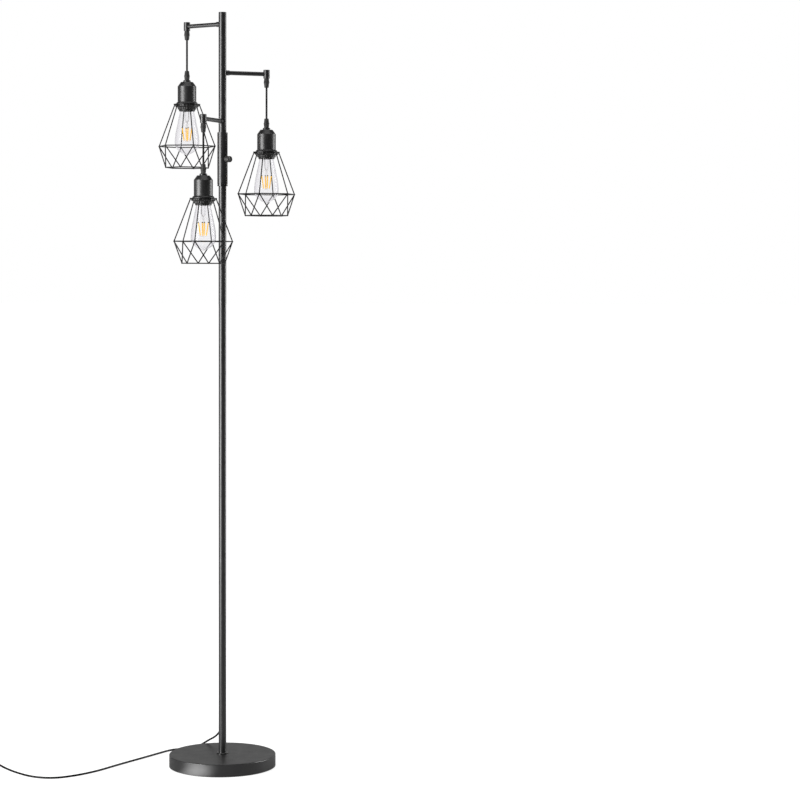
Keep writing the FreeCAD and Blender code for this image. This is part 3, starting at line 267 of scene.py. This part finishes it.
ARM_REACH = 107 * MM
ARMS = ((1, 141, 1738.4), (2, 16, 1626.1), (3, 246, 1513.8))  # number, turn in degrees, height of the tube
HEADS = {}  # the middle of each tee
for number, turn, height in ARMS:
    angle = math.radians(turn)
    HEADS[number] = Vector((ARM_REACH * math.cos(angle), ARM_REACH * math.sin(angle), height * MM))
TEE_HALF, TEE_RADIUS = 10 * MM, 7.5 * MM
tee_rims = [((head.x, head.y, head.z + side * TEE_HALF), TEE_RADIUS, 1.1 * MM)
            for head in HEADS.values() for side in (1, -1)]
paint(powder_coat("arm powder coat", BLACK, BLACK_THIN, 0.31, 0.39, rims=tee_rims),
      "arm_tube_1", "arm_tube_2", "arm_tube_3", "arm_collars", "arm_tees")


# ---------------------------------------------------------------- cord grips
# Moulded black grips clamp the cord above and below each pendant. A threaded stud goes into the tee or
# the lampholder, the foot is finely ribbed for the fingers, and a ridge parts it from the tapered nose.

def under(head, drop):
    """The point a number of millimetres below the middle of a tee."""
    return head - Vector((0, 0, drop * MM))


def metres(rings, way=1):
    """Rings given in millimetres, from the centre upwards or, with -1, downwards."""
    return [(radius * MM, way * along * MM) for radius, along in rings]


def only(piece):
    """Leave one piece selected and active."""
    bpy.ops.object.select_all(action="DESELECT")
    piece.select_set(True)
    bpy.context.view_layer.objects.active = piece


def settle(piece):
    """Move a piece's place, turn and size into its mesh."""
    only(piece)
    bpy.ops.object.transform_apply(location=True, rotation=True, scale=True)


def face_out():
    """Turn the faces of the mesh that is being edited outwards, and leave edit mode."""
    bpy.ops.mesh.select_all(action="SELECT")
    bpy.ops.mesh.normals_make_consistent(inside=False)
    bpy.ops.object.mode_set(mode="OBJECT")


def smooth(piece, angle):
    """Shade a piece smooth, except at edges sharper than the angle in degrees."""
    only(piece)
    bpy.ops.object.shade_smooth_by_angle(angle=math.radians(angle))


def turned(name, rings, centre, segments, ends="open"):
    """A circle drawn out ring by ring, as on a lathe. Each ring is (radius, height) from the centre.
    Its ends stay open, are joined to each other round a bore, or are filled."""
    bpy.ops.object.select_all(action="DESELECT")
    x, y, z = centre
    radius, height = rings[0]
    bpy.ops.mesh.primitive_circle_add(vertices=segments, radius=radius, location=(x, y, z + height))
    piece = bpy.context.object
    piece.name = piece.data.name = name
    bpy.ops.object.mode_set(mode="EDIT")
    bpy.ops.mesh.select_mode(type="EDGE")
    bpy.ops.mesh.select_all(action="SELECT")
    for next_radius, next_height in rings[1:]:
        bpy.ops.mesh.extrude_region_move(TRANSFORM_OT_translate={"value": (0, 0, next_height - height)})
        grow = next_radius / radius
        bpy.ops.transform.resize(value=(grow, grow, 1), center_override=(x, y, z + next_height))
        radius, height = next_radius, next_height
    if ends != "open":
        bpy.ops.mesh.select_all(action="DESELECT")
        bpy.ops.mesh.select_non_manifold()
        if ends == "bore":
            bpy.ops.mesh.bridge_edge_loops()
        else:
            bpy.ops.mesh.fill_holes(sides=0)
    face_out()
    settle(piece)
    return piece


def pressed(piece, centre, low, high, steps, shape, inner):
    """Move some columns of a turned piece towards its axis, between two heights and outside a radius.
    Shape gives the factor for each step round the piece, and repeats."""
    for factor in sorted(set(shape) - {1.0}):
        only(piece)
        bpy.ops.object.mode_set(mode="EDIT")
        bpy.ops.mesh.select_mode(type="VERT")
        bpy.ops.mesh.select_all(action="DESELECT")
        bpy.ops.object.mode_set(mode="OBJECT")
        for vertex in piece.data.vertices:
            x, y, z = vertex.co - Vector(centre)
            column = round(math.atan2(y, x) / (2 * math.pi) * steps) % steps
            if low < z < high and math.hypot(x, y) > inner and shape[column % len(shape)] == factor:
                vertex.select = True
        bpy.ops.object.mode_set(mode="EDIT")
        bpy.ops.transform.resize(value=(factor, factor, 1), center_override=tuple(centre))
        bpy.ops.object.mode_set(mode="OBJECT")


def clad(piece, material):
    """Give a new piece its finish as its one material."""
    piece.data.materials.clear()
    piece.data.materials.append(material)


grip_plastic = plastic("grip plastic", (0.024, 0.024, 0.024), (0.034, 0.0335, 0.033), 0.50, 0.62)
GRIP_RINGS = [(5.45, 0.0), (5.6, 0.5), (5.9, 3.0), (6.2, 6.0), (6.35, 8.0), (6.5, 8.4), (6.75, 9.2),
              (6.75, 10.4), (6.5, 11.2), (6.05, 11.5), (5.95, 12.4), (5.1, 20.4), (4.95, 21.0), (4.6, 21.45),
              (4.1, 21.5), (2.9, 18.0)]
GRIP_COLUMNS = 56
UPPER_GRIP_DROP, LOWER_GRIP_DROP = 10, 125  # of the face that each grip's foot rests on
UPPER_STUD, LOWER_STUD = 8.0, 20.0


def grip(name, centre, way, stud):
    """A grip with its foot at a centre, its nose up (1) or down (-1), and a stud of a length behind it."""
    stud_rings = [(2.9, -stud), (4.6, -stud), (5.0, 0.4 - stud), (5.0, -0.05)]
    piece = turned(name, metres(stud_rings + GRIP_RINGS, way), centre, GRIP_COLUMNS, ends="bore")
    low, high = sorted((way * 0.3 * MM, way * 8.2 * MM))
    pressed(piece, centre, low, high, GRIP_COLUMNS, [1.0, 0.95], inner=5.3 * MM)
    smooth(piece, 50)
    clad(piece, grip_plastic)
    return piece


for number, head in HEADS.items():
    upper = grip(f"cord_grip_upper_{number}", under(head, UPPER_GRIP_DROP), -1, UPPER_STUD)
    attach(upper, "stand")
    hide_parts("upper_grips")
    lower = grip(f"cord_grip_lower_{number}", under(head, LOWER_GRIP_DROP), 1, LOWER_STUD)
    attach(lower, f"lamp_{number}")
    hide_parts(f"lower_grip_{number}")


# ---------------------------------------------------------------- switch knob
# A moulded black knob pushed on the switch's flatted shaft, which stands out of the sleeve. Its side is
# plain, a chamfer runs round the front, and the face is dished.

KNOB_RINGS = [(1.7, 6.05), (1.7, 16.05), (6.6, 16.05), (6.6, 12.35), (7.05, 12.35), (7.3, 12.6), (7.3, 24.3),
              (7.25, 24.6), (6.45, 25.75), (6.2, 25.95), (5.9, 26.0), (5.4, 25.8), (4.6, 25.45), (2.6, 25.3),
              (0.6, 25.28)]
KNOB_HEIGHT, KNOB_TURN = 1425.5 * MM, -45
knob = turned("switch_knob_cap", metres(KNOB_RINGS), (0, 0, 0), 96, ends="filled")
knob.matrix_world = (Matrix.Translation((0, 0, KNOB_HEIGHT))
                     @ Matrix.Rotation(math.radians(KNOB_TURN), 4, "Z")
                     @ Matrix.Rotation(math.radians(90), 4, "Y"))
settle(knob)
smooth(knob, 30)
clad(knob, plastic("knob plastic", (0.034, 0.034, 0.034), (0.048, 0.047, 0.046), 0.34, 0.44))
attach(knob, "knob")
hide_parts("switch_knob")


# ---------------------------------------------------------------- pendant cords
# Round vinyl sheathed lamp cord, 4.6 mm across, as on the floor. Each is a short bare length between
# two grips, and the weight of the lampholder and cage pulls it straight.

cord_vinyl, tree, shader, place = finish(
    "cord vinyl", Coat_Weight=0.05, Coat_Roughness=0.25, Specular_IOR_Level=0.22)
drawn = noise(tree, place, 520.0, 3.0, Roughness=0.5)
worked(tree, shader, noise(tree, place, 38.0, 3.0),
       (0.0045, 0.0044, 0.0045), (0.0080, 0.0078, 0.0078), 0.30, 0.42, 0.005 * MM, height=drawn)

CORD_DIAMETER = 0.0046
CORD_DROPS = (29.5, 48, 67.5, 87, 105.5)


def round_curve(name, points, thick, facets, steps):
    """A round cord or wire along one open spline through the room, with the points as its control points."""
    curve = bpy.data.curves.new(name, "CURVE")
    curve.dimensions = "3D"
    curve.bevel_depth = thick / 2
    curve.bevel_resolution = facets
    curve.resolution_u = steps
    curve.use_fill_caps = True
    spline = curve.splines.new("NURBS")
    spline.points.add(len(points) - 1)
    for point, place in zip(spline.points, points):
        point.co = (*place, 1)
    spline.order_u = 3
    spline.use_endpoint_u = True
    piece = bpy.data.objects.new(name, curve)
    bpy.context.collection.objects.link(piece)
    return piece


def cord(name, points):
    """A length of the lamp's cord."""
    piece = round_curve(name, points, CORD_DIAMETER, 5, 8)
    piece.data.materials.append(cord_vinyl)
    return piece


for number, head in HEADS.items():
    hanging = cord(f"cord_hanging_{number}", [under(head, drop) for drop in CORD_DROPS])
    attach(hanging, f"cord_{number}")
    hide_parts(f"pendant_cord_{number}")


# ---------------------------------------------------------------- lampholders
# A spun steel cap hides each lampholder and flares out over the cage's plate. A glossy neck ring sits
# between cap and grip. The black moulded lampholder comes through the plate.

# Drop and radius of the cap's lip, shoulder and top edge, and the width of the wear on each.
CAP_EDGES = ((180.9, 25.4, 1.4), (139.9, 21.85, 1.4), (129.7, 14.4, 1.2))
for number, head in HEADS.items():
    rims = [(tuple(under(head, drop)), radius * MM, width * MM) for drop, radius, width in CAP_EDGES]
    paint(powder_coat(f"cap powder coat {number}", BLACK, BLACK_THIN, 0.34, 0.42, rims=rims, dusty=0.35),
          f"socket_cap_{number}")
paint(powder_coat("neck gloss black", BLACK, BLACK_THIN, 0.24, 0.3, depth=GLOSS_PEEL, gloss=0.6),
      "neck_ring_1", "neck_ring_2", "neck_ring_3")
socket_plastic = plastic("lampholder plastic", (0.013, 0.013, 0.013), (0.020, 0.0195, 0.019), 0.34, 0.46)
paint(socket_plastic, "socket_1", "socket_2", "socket_3")


# ---------------------------------------------------------------- retaining rings
# A moulded ring screws up the lampholder's thread and clamps the cage's plate against the cap. Its
# flange is scalloped for the fingers, and upright ribs run round its hub.

RING_RINGS = [(18.95, 182.5), (27.3, 182.5), (28.2, 182.8), (28.5, 183.5), (27.9, 186.0), (27.0, 187.6),
              (26.2, 188.3), (22.7, 188.4), (22.0, 188.8), (21.8, 192.6), (21.4, 193.6), (20.8, 193.8),
              (18.95, 193.8)]
RING_COLUMNS = 120
SCALLOPS = [1.0, 1.0, 1.0, 0.985, 0.975, 0.985]
RIBS = [1.0, 1.0, 1.0, 1.0, 1.0, 0.97]
for number, head in HEADS.items():
    ring = turned(f"clamp_ring_{number}", metres(RING_RINGS, -1), head, RING_COLUMNS, ends="bore")
    pressed(ring, head, -188.5 * MM, -182.6 * MM, RING_COLUMNS, SCALLOPS, inner=25.5 * MM)
    pressed(ring, head, -193.7 * MM, -188.6 * MM, RING_COLUMNS, RIBS, inner=20.5 * MM)
    smooth(ring, 40)
    clad(ring, socket_plastic)
    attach(ring, f"lamp_{number}")
    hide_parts(f"retaining_ring_{number}")


# ---------------------------------------------------------------- cages
# Straight lengths of 2.7 mm steel wire: six spokes from a round plate to a hexagonal belt, a smaller
# foot hexagon, and a zigzag between them. Each joint is a small weld under the powder coat.

def joined(name, pieces):
    """Several shapes as one piece."""
    bpy.ops.object.select_all(action="DESELECT")
    for piece in pieces:
        piece.select_set(True)
    bpy.context.view_layer.objects.active = pieces[0]
    bpy.ops.object.join()
    pieces[0].name = pieces[0].data.name = name
    return pieces[0]


cage_coat = powder_coat("cage powder coat", BLACK, BLACK_THIN, 0.36, 0.46, grain=1800.0, depth=0.015 * MM,
                        dusty=0.2, gloss=0.35)
CAGE_TURNS = {1: -16.5, 2: 15.0, 3: 14.0}
# Radius, drop, turn past the spoke, and size of the welds at the plate, the belt and the foot.
WELDS = ((30.2, 181.9, 0, 1.65), (68.6, 279.95, 0, 2.0), (51.0, 330.05, 30, 1.95))
for number, turn in CAGE_TURNS.items():
    head = HEADS[number]
    paint(cage_coat, f"cage_{number}")
    beads = []
    for step in range(6):
        for radius, drop, ahead, size in WELDS:
            angle = math.radians(turn + 60 * step + ahead)
            at = head + Vector((radius * MM * math.cos(angle), radius * MM * math.sin(angle), -drop * MM))
            bpy.ops.object.select_all(action="DESELECT")
            bpy.ops.mesh.primitive_ico_sphere_add(subdivisions=2, radius=size * MM, location=at)
            bead = bpy.context.object
            bpy.ops.object.mode_set(mode="EDIT")
            bpy.ops.transform.vertex_random(offset=0.16 * MM, uniform=0.4, seed=step + 7 * number)
            bpy.ops.transform.resize(value=(1, 1, 0.86), center_override=tuple(at))
            bpy.ops.object.mode_set(mode="OBJECT")
            settle(bead)
            beads.append(bead)
    welds = joined(f"cage_welds_{number}", beads)
    smooth(welds, 80)
    clad(welds, cage_coat)
    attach(welds, f"lamp_{number}")


# ---------------------------------------------------------------- bulbs
# Clear pear shaped glass on a nickel screw base. Inside, a flared glass stem is pinched round the lead
# wires and carries a rod, and four yellow LED filaments slope inwards between thin bent wires.

clear_glass, tree, shader, place = finish(
    "clear bulb glass", Transmission_Weight=1.0, IOR=1.25, Metallic=0.0, Roughness=0.0)
body = layered(tree, noise(tree, place, 45.0, 2.0), (0.935, 0.932, 0.942), (0.955, 0.952, 0.962))
edge_on = remap(tree, node(tree, "LayerWeight", {"Blend": 0.5}).outputs["Facing"], (0.2, 1.1))
tree.links.new(layered(tree, edge_on, body, (0.70, 0.68, 0.72)), shader.inputs["Base Color"])

# The filaments' yellow phosphor colour is also given off as a faint painted glow, which stands in for the
# light that reaches them through the glass.
filament_glow, tree, shader, place = finish(
    "filament phosphor painted glow", Emission_Strength=0.40, Specular_IOR_Level=0.1)
amber = worked(tree, shader, noise(tree, place, 1500.0, 3.0),
               (0.95, 0.46, 0.002), (1.0, 0.60, 0.008), 0.35, 0.55, 0.06 * MM)
tree.links.new(amber, shader.inputs["Emission Color"])

paint(nickel, "bulb_base_1", "bulb_base_2", "bulb_base_3")
paint(nickel, "bulb_mount_1", "bulb_mount_2", "bulb_mount_3")

GLASS_RINGS = [(12.65, 186.3), (12.65, 187.9), (14.2, 190.2), (16.1, 193.2), (16.3, 196.0), (16.6, 199.2),
               (18.6, 209.0), (21.6, 223.5), (24.4, 237.0), (26.7, 249.1), (28.4, 260.5), (29.05, 271.95),
               (27.6, 280.2), (24.7, 285.7), (20.43, 290.33), (14.79, 294.43), (9.42, 297.35), (4.6, 299.3),
               (2.9, 300.0), (2.4, 301.0), (1.7, 302.2), (0.5, 302.75)]
GLASS_TIP_DROP = 302.6  # the tip's last ring lies below this and closes to a point
GLASS_WALL = 0.6
STEM_RINGS = [(9.0, 186.7), (10.9, 186.8), (10.6, 187.5), (8.2, 189.6), (6.4, 192.6), (6.0, 196.0),
              (5.9, 208.0), (5.8, 215.5), (5.2, 217.8), (3.9, 219.6), (3.4, 221.0), (3.3, 222.6),
              (2.2, 223.6), (0.9, 224.6), (0.85, 263.0), (1.3, 265.5), (1.4, 267.5), (0.8, 269.0)]
LEAD_OUT, LEAD_DROPS = 2.6, (187.5, 200, 213, 221)
FILAMENT_TURN = 13
# How far out from the bulb's axis, and the drop: a filament's ends, and the bends of the wires to them,
# from the stem and from the rod.
FILAMENT_TOP, FILAMENT_FOOT = (11.6, 236.5), (7.0, 266.7)
STEM_WIRE_BENDS = ((1.0, 220.5), (3.5, 224.0), (9.5, 227.5))
ROD_WIRE_BENDS = ((0.0, 267.2), (3.5, 269.0), (6.6, 268.4))


def wire(points, thick):
    """A thin bent wire, as a mesh."""
    piece = round_curve("lead_wire", points, thick, 1, 6)
    only(piece)
    bpy.ops.object.convert(target="MESH")
    return bpy.context.object


def envelope(name, head):
    """The blown glass, drawn to a closed tip, with a wall inside its shape."""
    piece = turned(name, metres(GLASS_RINGS, -1), head, 80)
    only(piece)
    bpy.ops.object.mode_set(mode="EDIT")
    bpy.ops.mesh.select_mode(type="VERT")
    bpy.ops.mesh.select_all(action="DESELECT")
    bpy.ops.object.mode_set(mode="OBJECT")
    for vertex in piece.data.vertices:
        vertex.select = vertex.co.z < head.z - GLASS_TIP_DROP * MM
    bpy.ops.object.mode_set(mode="EDIT")
    bpy.ops.mesh.merge(type="CENTER")
    face_out()
    wall = piece.modifiers.new("wall", "SOLIDIFY")
    wall.thickness = GLASS_WALL * MM
    wall.offset = -1
    round_off = piece.modifiers.new("round", "SUBSURF")
    round_off.levels = round_off.render_levels = 1
    only(piece)
    for modifier in ("wall", "round"):
        bpy.ops.object.modifier_apply(modifier=modifier)
    smooth(piece, 60)
    return piece


def filament(head, out):
    """One filament and its dark end clip, which lean inwards from top to foot, and the two wires to it."""
    top, foot = (under(head, drop) + out * reach * MM for reach, drop in (FILAMENT_TOP, FILAMENT_FOOT))
    long = (top - foot).length / MM
    stick = turned("stick", metres([(0.5, 0), (1.05, 0.3), (1.2, 1.0), (1.2, long - 1.0), (1.05, long - 0.3),
                                    (0.5, long)]), (0, 0, 0), 14, ends="filled")
    clip = turned("clip", metres([(0.9, long - 1.3), (1.42, long - 1.2), (1.45, long + 0.4),
                                  (0.9, long + 1.1), (0.4, long + 1.2)]), (0, 0, 0), 14, ends="filled")
    for part in (stick, clip):
        part.rotation_euler = (top - foot).to_track_quat("Z", "Y").to_euler()
        part.location = foot
        settle(part)
    above, below = ([under(head, drop) + out * reach * MM for reach, drop in bends]
                    for bends in (STEM_WIRE_BENDS, ROD_WIRE_BENDS))
    above += [top + out * 0.6 * MM + Vector((0, 0, 4.0 * MM)), top - Vector((0, 0, 0.3 * MM))]
    below += [foot + Vector((0, 0, 0.3 * MM))]
    return stick, clip, [wire(above, 0.44 * MM), wire(below, 0.4 * MM)]


for number, head in HEADS.items():
    bulb = envelope(f"bulb_envelope_{number}", head)
    clad(bulb, clear_glass)
    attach(bulb, f"lamp_{number}")
    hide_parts(f"bulb_glass_{number}")

    stem = turned(f"bulb_stem_{number}", metres(STEM_RINGS, -1), head, 32, ends="filled")
    smooth(stem, 60)
    clad(stem, clear_glass)
    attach(stem, f"lamp_{number}")
    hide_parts(f"bulb_mount_{number}")

    wires, sticks, clips = [], [], []
    for side in (-1, 1):
        beside = Vector((side * LEAD_OUT * MM, 0, 0))
        wires.append(wire([under(head, drop) + beside for drop in LEAD_DROPS], 0.5 * MM))
    for step in range(4):
        angle = math.radians(FILAMENT_TURN + 90 * step)
        stick, clip, pair = filament(head, Vector((math.cos(angle), math.sin(angle), 0)))
        sticks.append(stick)
        clips.append(clip)
        wires += pair
    for name, shapes, angle, material, slot in (("bulb_wires", wires, 60, nickel, "nickel"),
                                                ("bulb_filaments", sticks, 50, filament_glow, "filament"),
                                                ("bulb_clips", clips, 50, socket_plastic, "black_plastic")):
        inside = joined(f"{name}_{number}", shapes)
        smooth(inside, angle)
        clad(inside, material)
        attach(inside, f"lamp_{number}")


# ---------------------------------------------------------------- floor cord
# Round vinyl lamp cord. It leaves the pole's foot at the back through a rubber grommet, falls over the
# base and runs off to the left in loose curves. The rest lies in a neat coil just outside the view.

paint(cord_vinyl, "pole_lead", "arm_leads")
paint(plastic("grommet rubber", (0.010, 0.010, 0.010), (0.018, 0.0175, 0.017), 0.55, 0.7), "cord_bushing")

LYING = 0.0024  # height of the cord's middle where it lies on the floor
route = [Vector(point) * MM for point in (
    (0, 8, 81), (0, 48, 81), (-15, 82, 54), (-34, 121, 36.5), (-55, 156, 16))]
route += [Vector((x * MM, y * MM, LYING)) for x, y in (
    (-75, 179), (-98, 187), (-124, 177), (-151, 142), (-182, 100), (-218, 53), (-254, 5), (-289, -45),
    (-334, -90), (-386, -118.5), (-436, -101), (-476, -54), (-507, -4), (-530, 46))]

# The coil: half circles to the left that spiral in, climb once, and spiral out on top of themselves.
heading = math.atan2(route[-1].y - route[-2].y, route[-1].x - route[-2].x)
LEAD, PITCH, OUTER, HALF_TURNS, STEPS = 0.0046, 0.0051, 0.0312, 11, 6
end = route[-1] + Vector((math.cos(heading), math.sin(heading), 0)) * LEAD
for half in range(HALF_TURNS):
    radius = OUTER - min(half, HALF_TURNS - 1 - half) * PITCH / 2
    rise = PITCH if half == HALF_TURNS // 2 else 0.0
    centre = end + Vector((-math.sin(heading), math.cos(heading), 0)) * radius
    for step in range(STEPS):
        sweep = math.pi * (step + 0.5) / STEPS
        reach = radius / math.cos(math.pi / STEPS / 2)
        route.append(centre + Vector((math.sin(heading + sweep), -math.cos(heading + sweep), 0)) * reach
                     + Vector((0, 0, rise * sweep / math.pi)))
    end = end + Vector((-math.sin(heading), math.cos(heading), 0)) * 2 * radius + Vector((0, 0, rise))
    heading += math.pi
forward = Vector((math.cos(heading), math.sin(heading), 0))
plug_start = end + forward * LEAD
route += [plug_start, plug_start + forward * 8 * MM]
floor_cord = cord("cord_on_floor", route)
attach(floor_cord, "stand")
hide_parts("floor_cord", "cord_coil")


# ---------------------------------------------------------------- plug
# A flat two-blade plug of black vinyl, moulded round the end of the cord. Its waist is pinched for the
# fingers, and its tail is ringed with grooves so that it bends softly.

TAIL_RINGS = [(3.1, 0.0), (3.4, 0.4)]
for groove in range(5):
    at, size = 2.6 + 3.6 * groove, 3.55 + 0.18 * groove
    TAIL_RINGS += [(size, at - 1.1), (size + 0.05, at + 0.7), (size - 0.55, at + 1.0), (size - 0.5, at + 1.9),
                   (size + 0.1, at + 2.2)]
TAIL_RINGS += [(4.5, 21.0), (4.5, 24.0)]
tail = turned("plug_tail", metres(TAIL_RINGS), (0, 0, 0), 32, ends="filled")

# Distance along the plug, width and thickness of each cross section.
STATIONS = [(20.6, 9.0, 8.0), (21.2, 13.0, 9.6), (23.0, 18.0, 11.6), (26.0, 22.4, 13.2),
            (31.0, 24.4, 14.0), (36.0, 22.4, 13.0), (41.0, 21.8, 12.6), (46.0, 22.8, 13.2),
            (50.0, 24.8, 14.3), (54.4, 25.0, 14.4), (55.6, 24.2, 13.6), (56.0, 22.0, 11.6)]
bpy.ops.object.select_all(action="DESELECT")
along, wide, thick = (size * MM for size in STATIONS[0])
bpy.ops.mesh.primitive_plane_add(size=1, location=(0, 0, along))
shell = bpy.context.object
bpy.ops.object.mode_set(mode="EDIT")
bpy.ops.transform.resize(value=(wide, thick, 1), center_override=(0, 0, along))
bpy.ops.mesh.bevel(offset=0.3 * thick, segments=5, affect="VERTICES")
for station in STATIONS[1:]:
    next_along, next_wide, next_thick = (size * MM for size in station)
    bpy.ops.mesh.extrude_region_move(TRANSFORM_OT_translate={"value": (0, 0, next_along - along)})
    bpy.ops.transform.resize(value=(next_wide / wide, next_thick / thick, 1),
                             center_override=(0, 0, next_along))
    along, wide, thick = next_along, next_wide, next_thick
bpy.ops.mesh.select_all(action="DESELECT")
bpy.ops.mesh.select_mode(type="EDGE")
bpy.ops.mesh.select_non_manifold()
bpy.ops.mesh.fill_holes(sides=0)
face_out()
settle(shell)
plug = joined("plug_moulding", [shell, tail])

# Local X is the plug's width, Y its thickness and Z its length: Z goes along the cord and Y points up.
lay = Matrix.Identity(3)
lay.col[0], lay.col[1], lay.col[2] = Vector((0, 0, 1)).cross(forward), Vector((0, 0, 1)), forward
plug.matrix_world = Matrix.Translation(plug_start) @ lay.to_4x4()
settle(plug)
bpy.ops.object.mode_set(mode="EDIT")
face_out()
smooth(plug, 40)
clad(plug, plastic("plug vinyl", (0.011, 0.011, 0.011), (0.019, 0.0185, 0.018), 0.38, 0.5))
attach(plug, "stand")
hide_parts("plug_body")

brass, tree, shader, place = finish("rolled brass", Metallic=1.0)
stretched = node(tree, "Mapping", {"Vector": place, "Scale": (60.0, 60.0, 900.0)}).outputs[0]
worked(tree, shader, noise(tree, stretched, 4.0, 5.0),
       (0.62, 0.46, 0.22), (0.80, 0.62, 0.34), 0.2, 0.36, 0.04 * MM)
paint(brass, "plug_blades")


# ---------------------------------------------------------------- studio
# A white floor under a white room. Two tall soft boxes stand at the left front and the right, so the
# black tubes carry one soft bright strip and one bright edge, as in the photograph.

def direct(tree, path):
    """Whether a ray comes from the camera, straight or through glass."""
    return combine(tree, path["Is Camera Ray"], "MAXIMUM", path["Is Transmission Ray"])


# The floor shines for direct rays, a little less near the lamp, where the soft boxes light it too. A
# reflection sees it dark, but for a slow rise at the back and a bright pool at the base's left front.
floor_paint, tree, shader, place = finish("floor white", Roughness=0.85, Specular_IOR_Level=0.1)
grain = noise(tree, place, 3.0, 3.0)
tree.links.new(layered(tree, grain, (0.40, 0.40, 0.40), (0.42, 0.42, 0.42)), shader.inputs["Base Color"])
path = node(tree, "LightPath").outputs
back = remap(tree, node(tree, "SeparateXYZ", {0: place}).outputs["Y"], (0.3, 1.5), (0.03, 0.5))
POOL = (-0.116, -0.158, 0.0)
aside = node(tree, "VectorMath", {0: place, 1: POOL}, operation="DISTANCE").outputs["Value"]
pool = remap(tree, aside, (0.02, 0.10), (6.2, 0.0), interpolation_type="SMOOTHSTEP")
mirrored = combine(tree, combine(tree, back, "ADD", pool), "MULTIPLY", path["Is Glossy Ray"])
seen = combine(tree, direct(tree, path), "MAXIMUM", mirrored)
far = remap(tree, length_of(tree, place), (0.15, 0.9), (0.80, 1.0), interpolation_type="SMOOTHSTEP")
shader.inputs["Emission Color"].default_value = (1, 1, 1, 1)
tree.links.new(combine(tree, far, "MULTIPLY", seen), shader.inputs["Emission Strength"])
bpy.ops.object.select_all(action="DESELECT")
bpy.ops.mesh.primitive_plane_add(size=120, location=(0, 0, -0.2 * MM))
floor = bpy.context.object
floor.name = "studio_floor"
floor.data.materials.append(floor_paint)

# The room is white for direct rays and grey for all others, and a reflection sees it lighter behind the lamp.
ROOM_GREY = 0.38
world = bpy.data.worlds.new("studio room")
bpy.context.scene.world = world
world.use_nodes = True
tree = world.node_tree
path = node(tree, "LightPath").outputs
direction = node(tree, "SeparateXYZ", {0: node(tree, "TexCoord").outputs["Generated"]}).outputs["Y"]
behind = remap(tree, direction, (0.45, 0.95), (0.03, ROOM_GREY), interpolation_type="SMOOTHSTEP")
indirect = node(tree, "Mix", {0: path["Is Glossy Ray"], 2: ROOM_GREY, 3: behind}, data_type="FLOAT")
level = node(tree, "Mix", {0: direct(tree, path), 2: indirect.outputs[0], 3: 1.0}, data_type="FLOAT")
background = tree.nodes["Background"]
background.inputs["Color"].default_value = (1, 1, 1, 1)
tree.links.new(level.outputs[0], background.inputs["Strength"])


def soft_box(name, place, aim, wide, tall, radiance):
    """A flat soft light at a place, turned towards a point. It isn't seen straight or through glass."""
    lamp = bpy.data.lights.new(name, "AREA")
    lamp.shape = "RECTANGLE"
    lamp.size, lamp.size_y = wide, tall
    lamp.energy = radiance * math.pi * wide * tall
    light = bpy.data.objects.new(name, lamp)
    light.location = place
    light.rotation_euler = (Vector(aim) - Vector(place)).to_track_quat("-Z", "Y").to_euler()
    light.visible_camera = light.visible_transmission = False
    bpy.context.collection.objects.link(light)


soft_box("left box", (-2.2, -1.30, 1.20), (0, 0, 1.15), 1.5, 2.3, 8.0)
soft_box("right box", (2.5, 0.72, 1.20), (0, 0, 1.15), 0.7, 2.3, 6.6)
soft_box("top box", (0.2, -0.3, 3.6), (0, 0, 0), 2.2, 2.2, 0.9)

# The camera stands where the photograph's did, found from the lamp's own edges in it.
EYE_AT = (0, -5.389, 1.186)
PITCH_DOWN, YAW_RIGHT, ROLL = 2.81061, 4.41862, 0.21845
eye = bpy.data.cameras.new("photo camera")
eye.sensor_width = 36.0
eye.lens = 103.512
eye.shift_y = -0.03
camera = bpy.data.objects.new("photo_camera", eye)
bpy.context.collection.objects.link(camera)
camera.matrix_world = (Matrix.Translation(EYE_AT) @ Matrix.Rotation(math.radians(-YAW_RIGHT), 4, "Z")
                       @ Matrix.Rotation(math.radians(90 - PITCH_DOWN), 4, "X")
                       @ Matrix.Rotation(math.radians(ROLL), 4, "Z"))
bpy.context.scene.camera = camera
bpy.context.scene.view_settings.view_transform = "Standard"
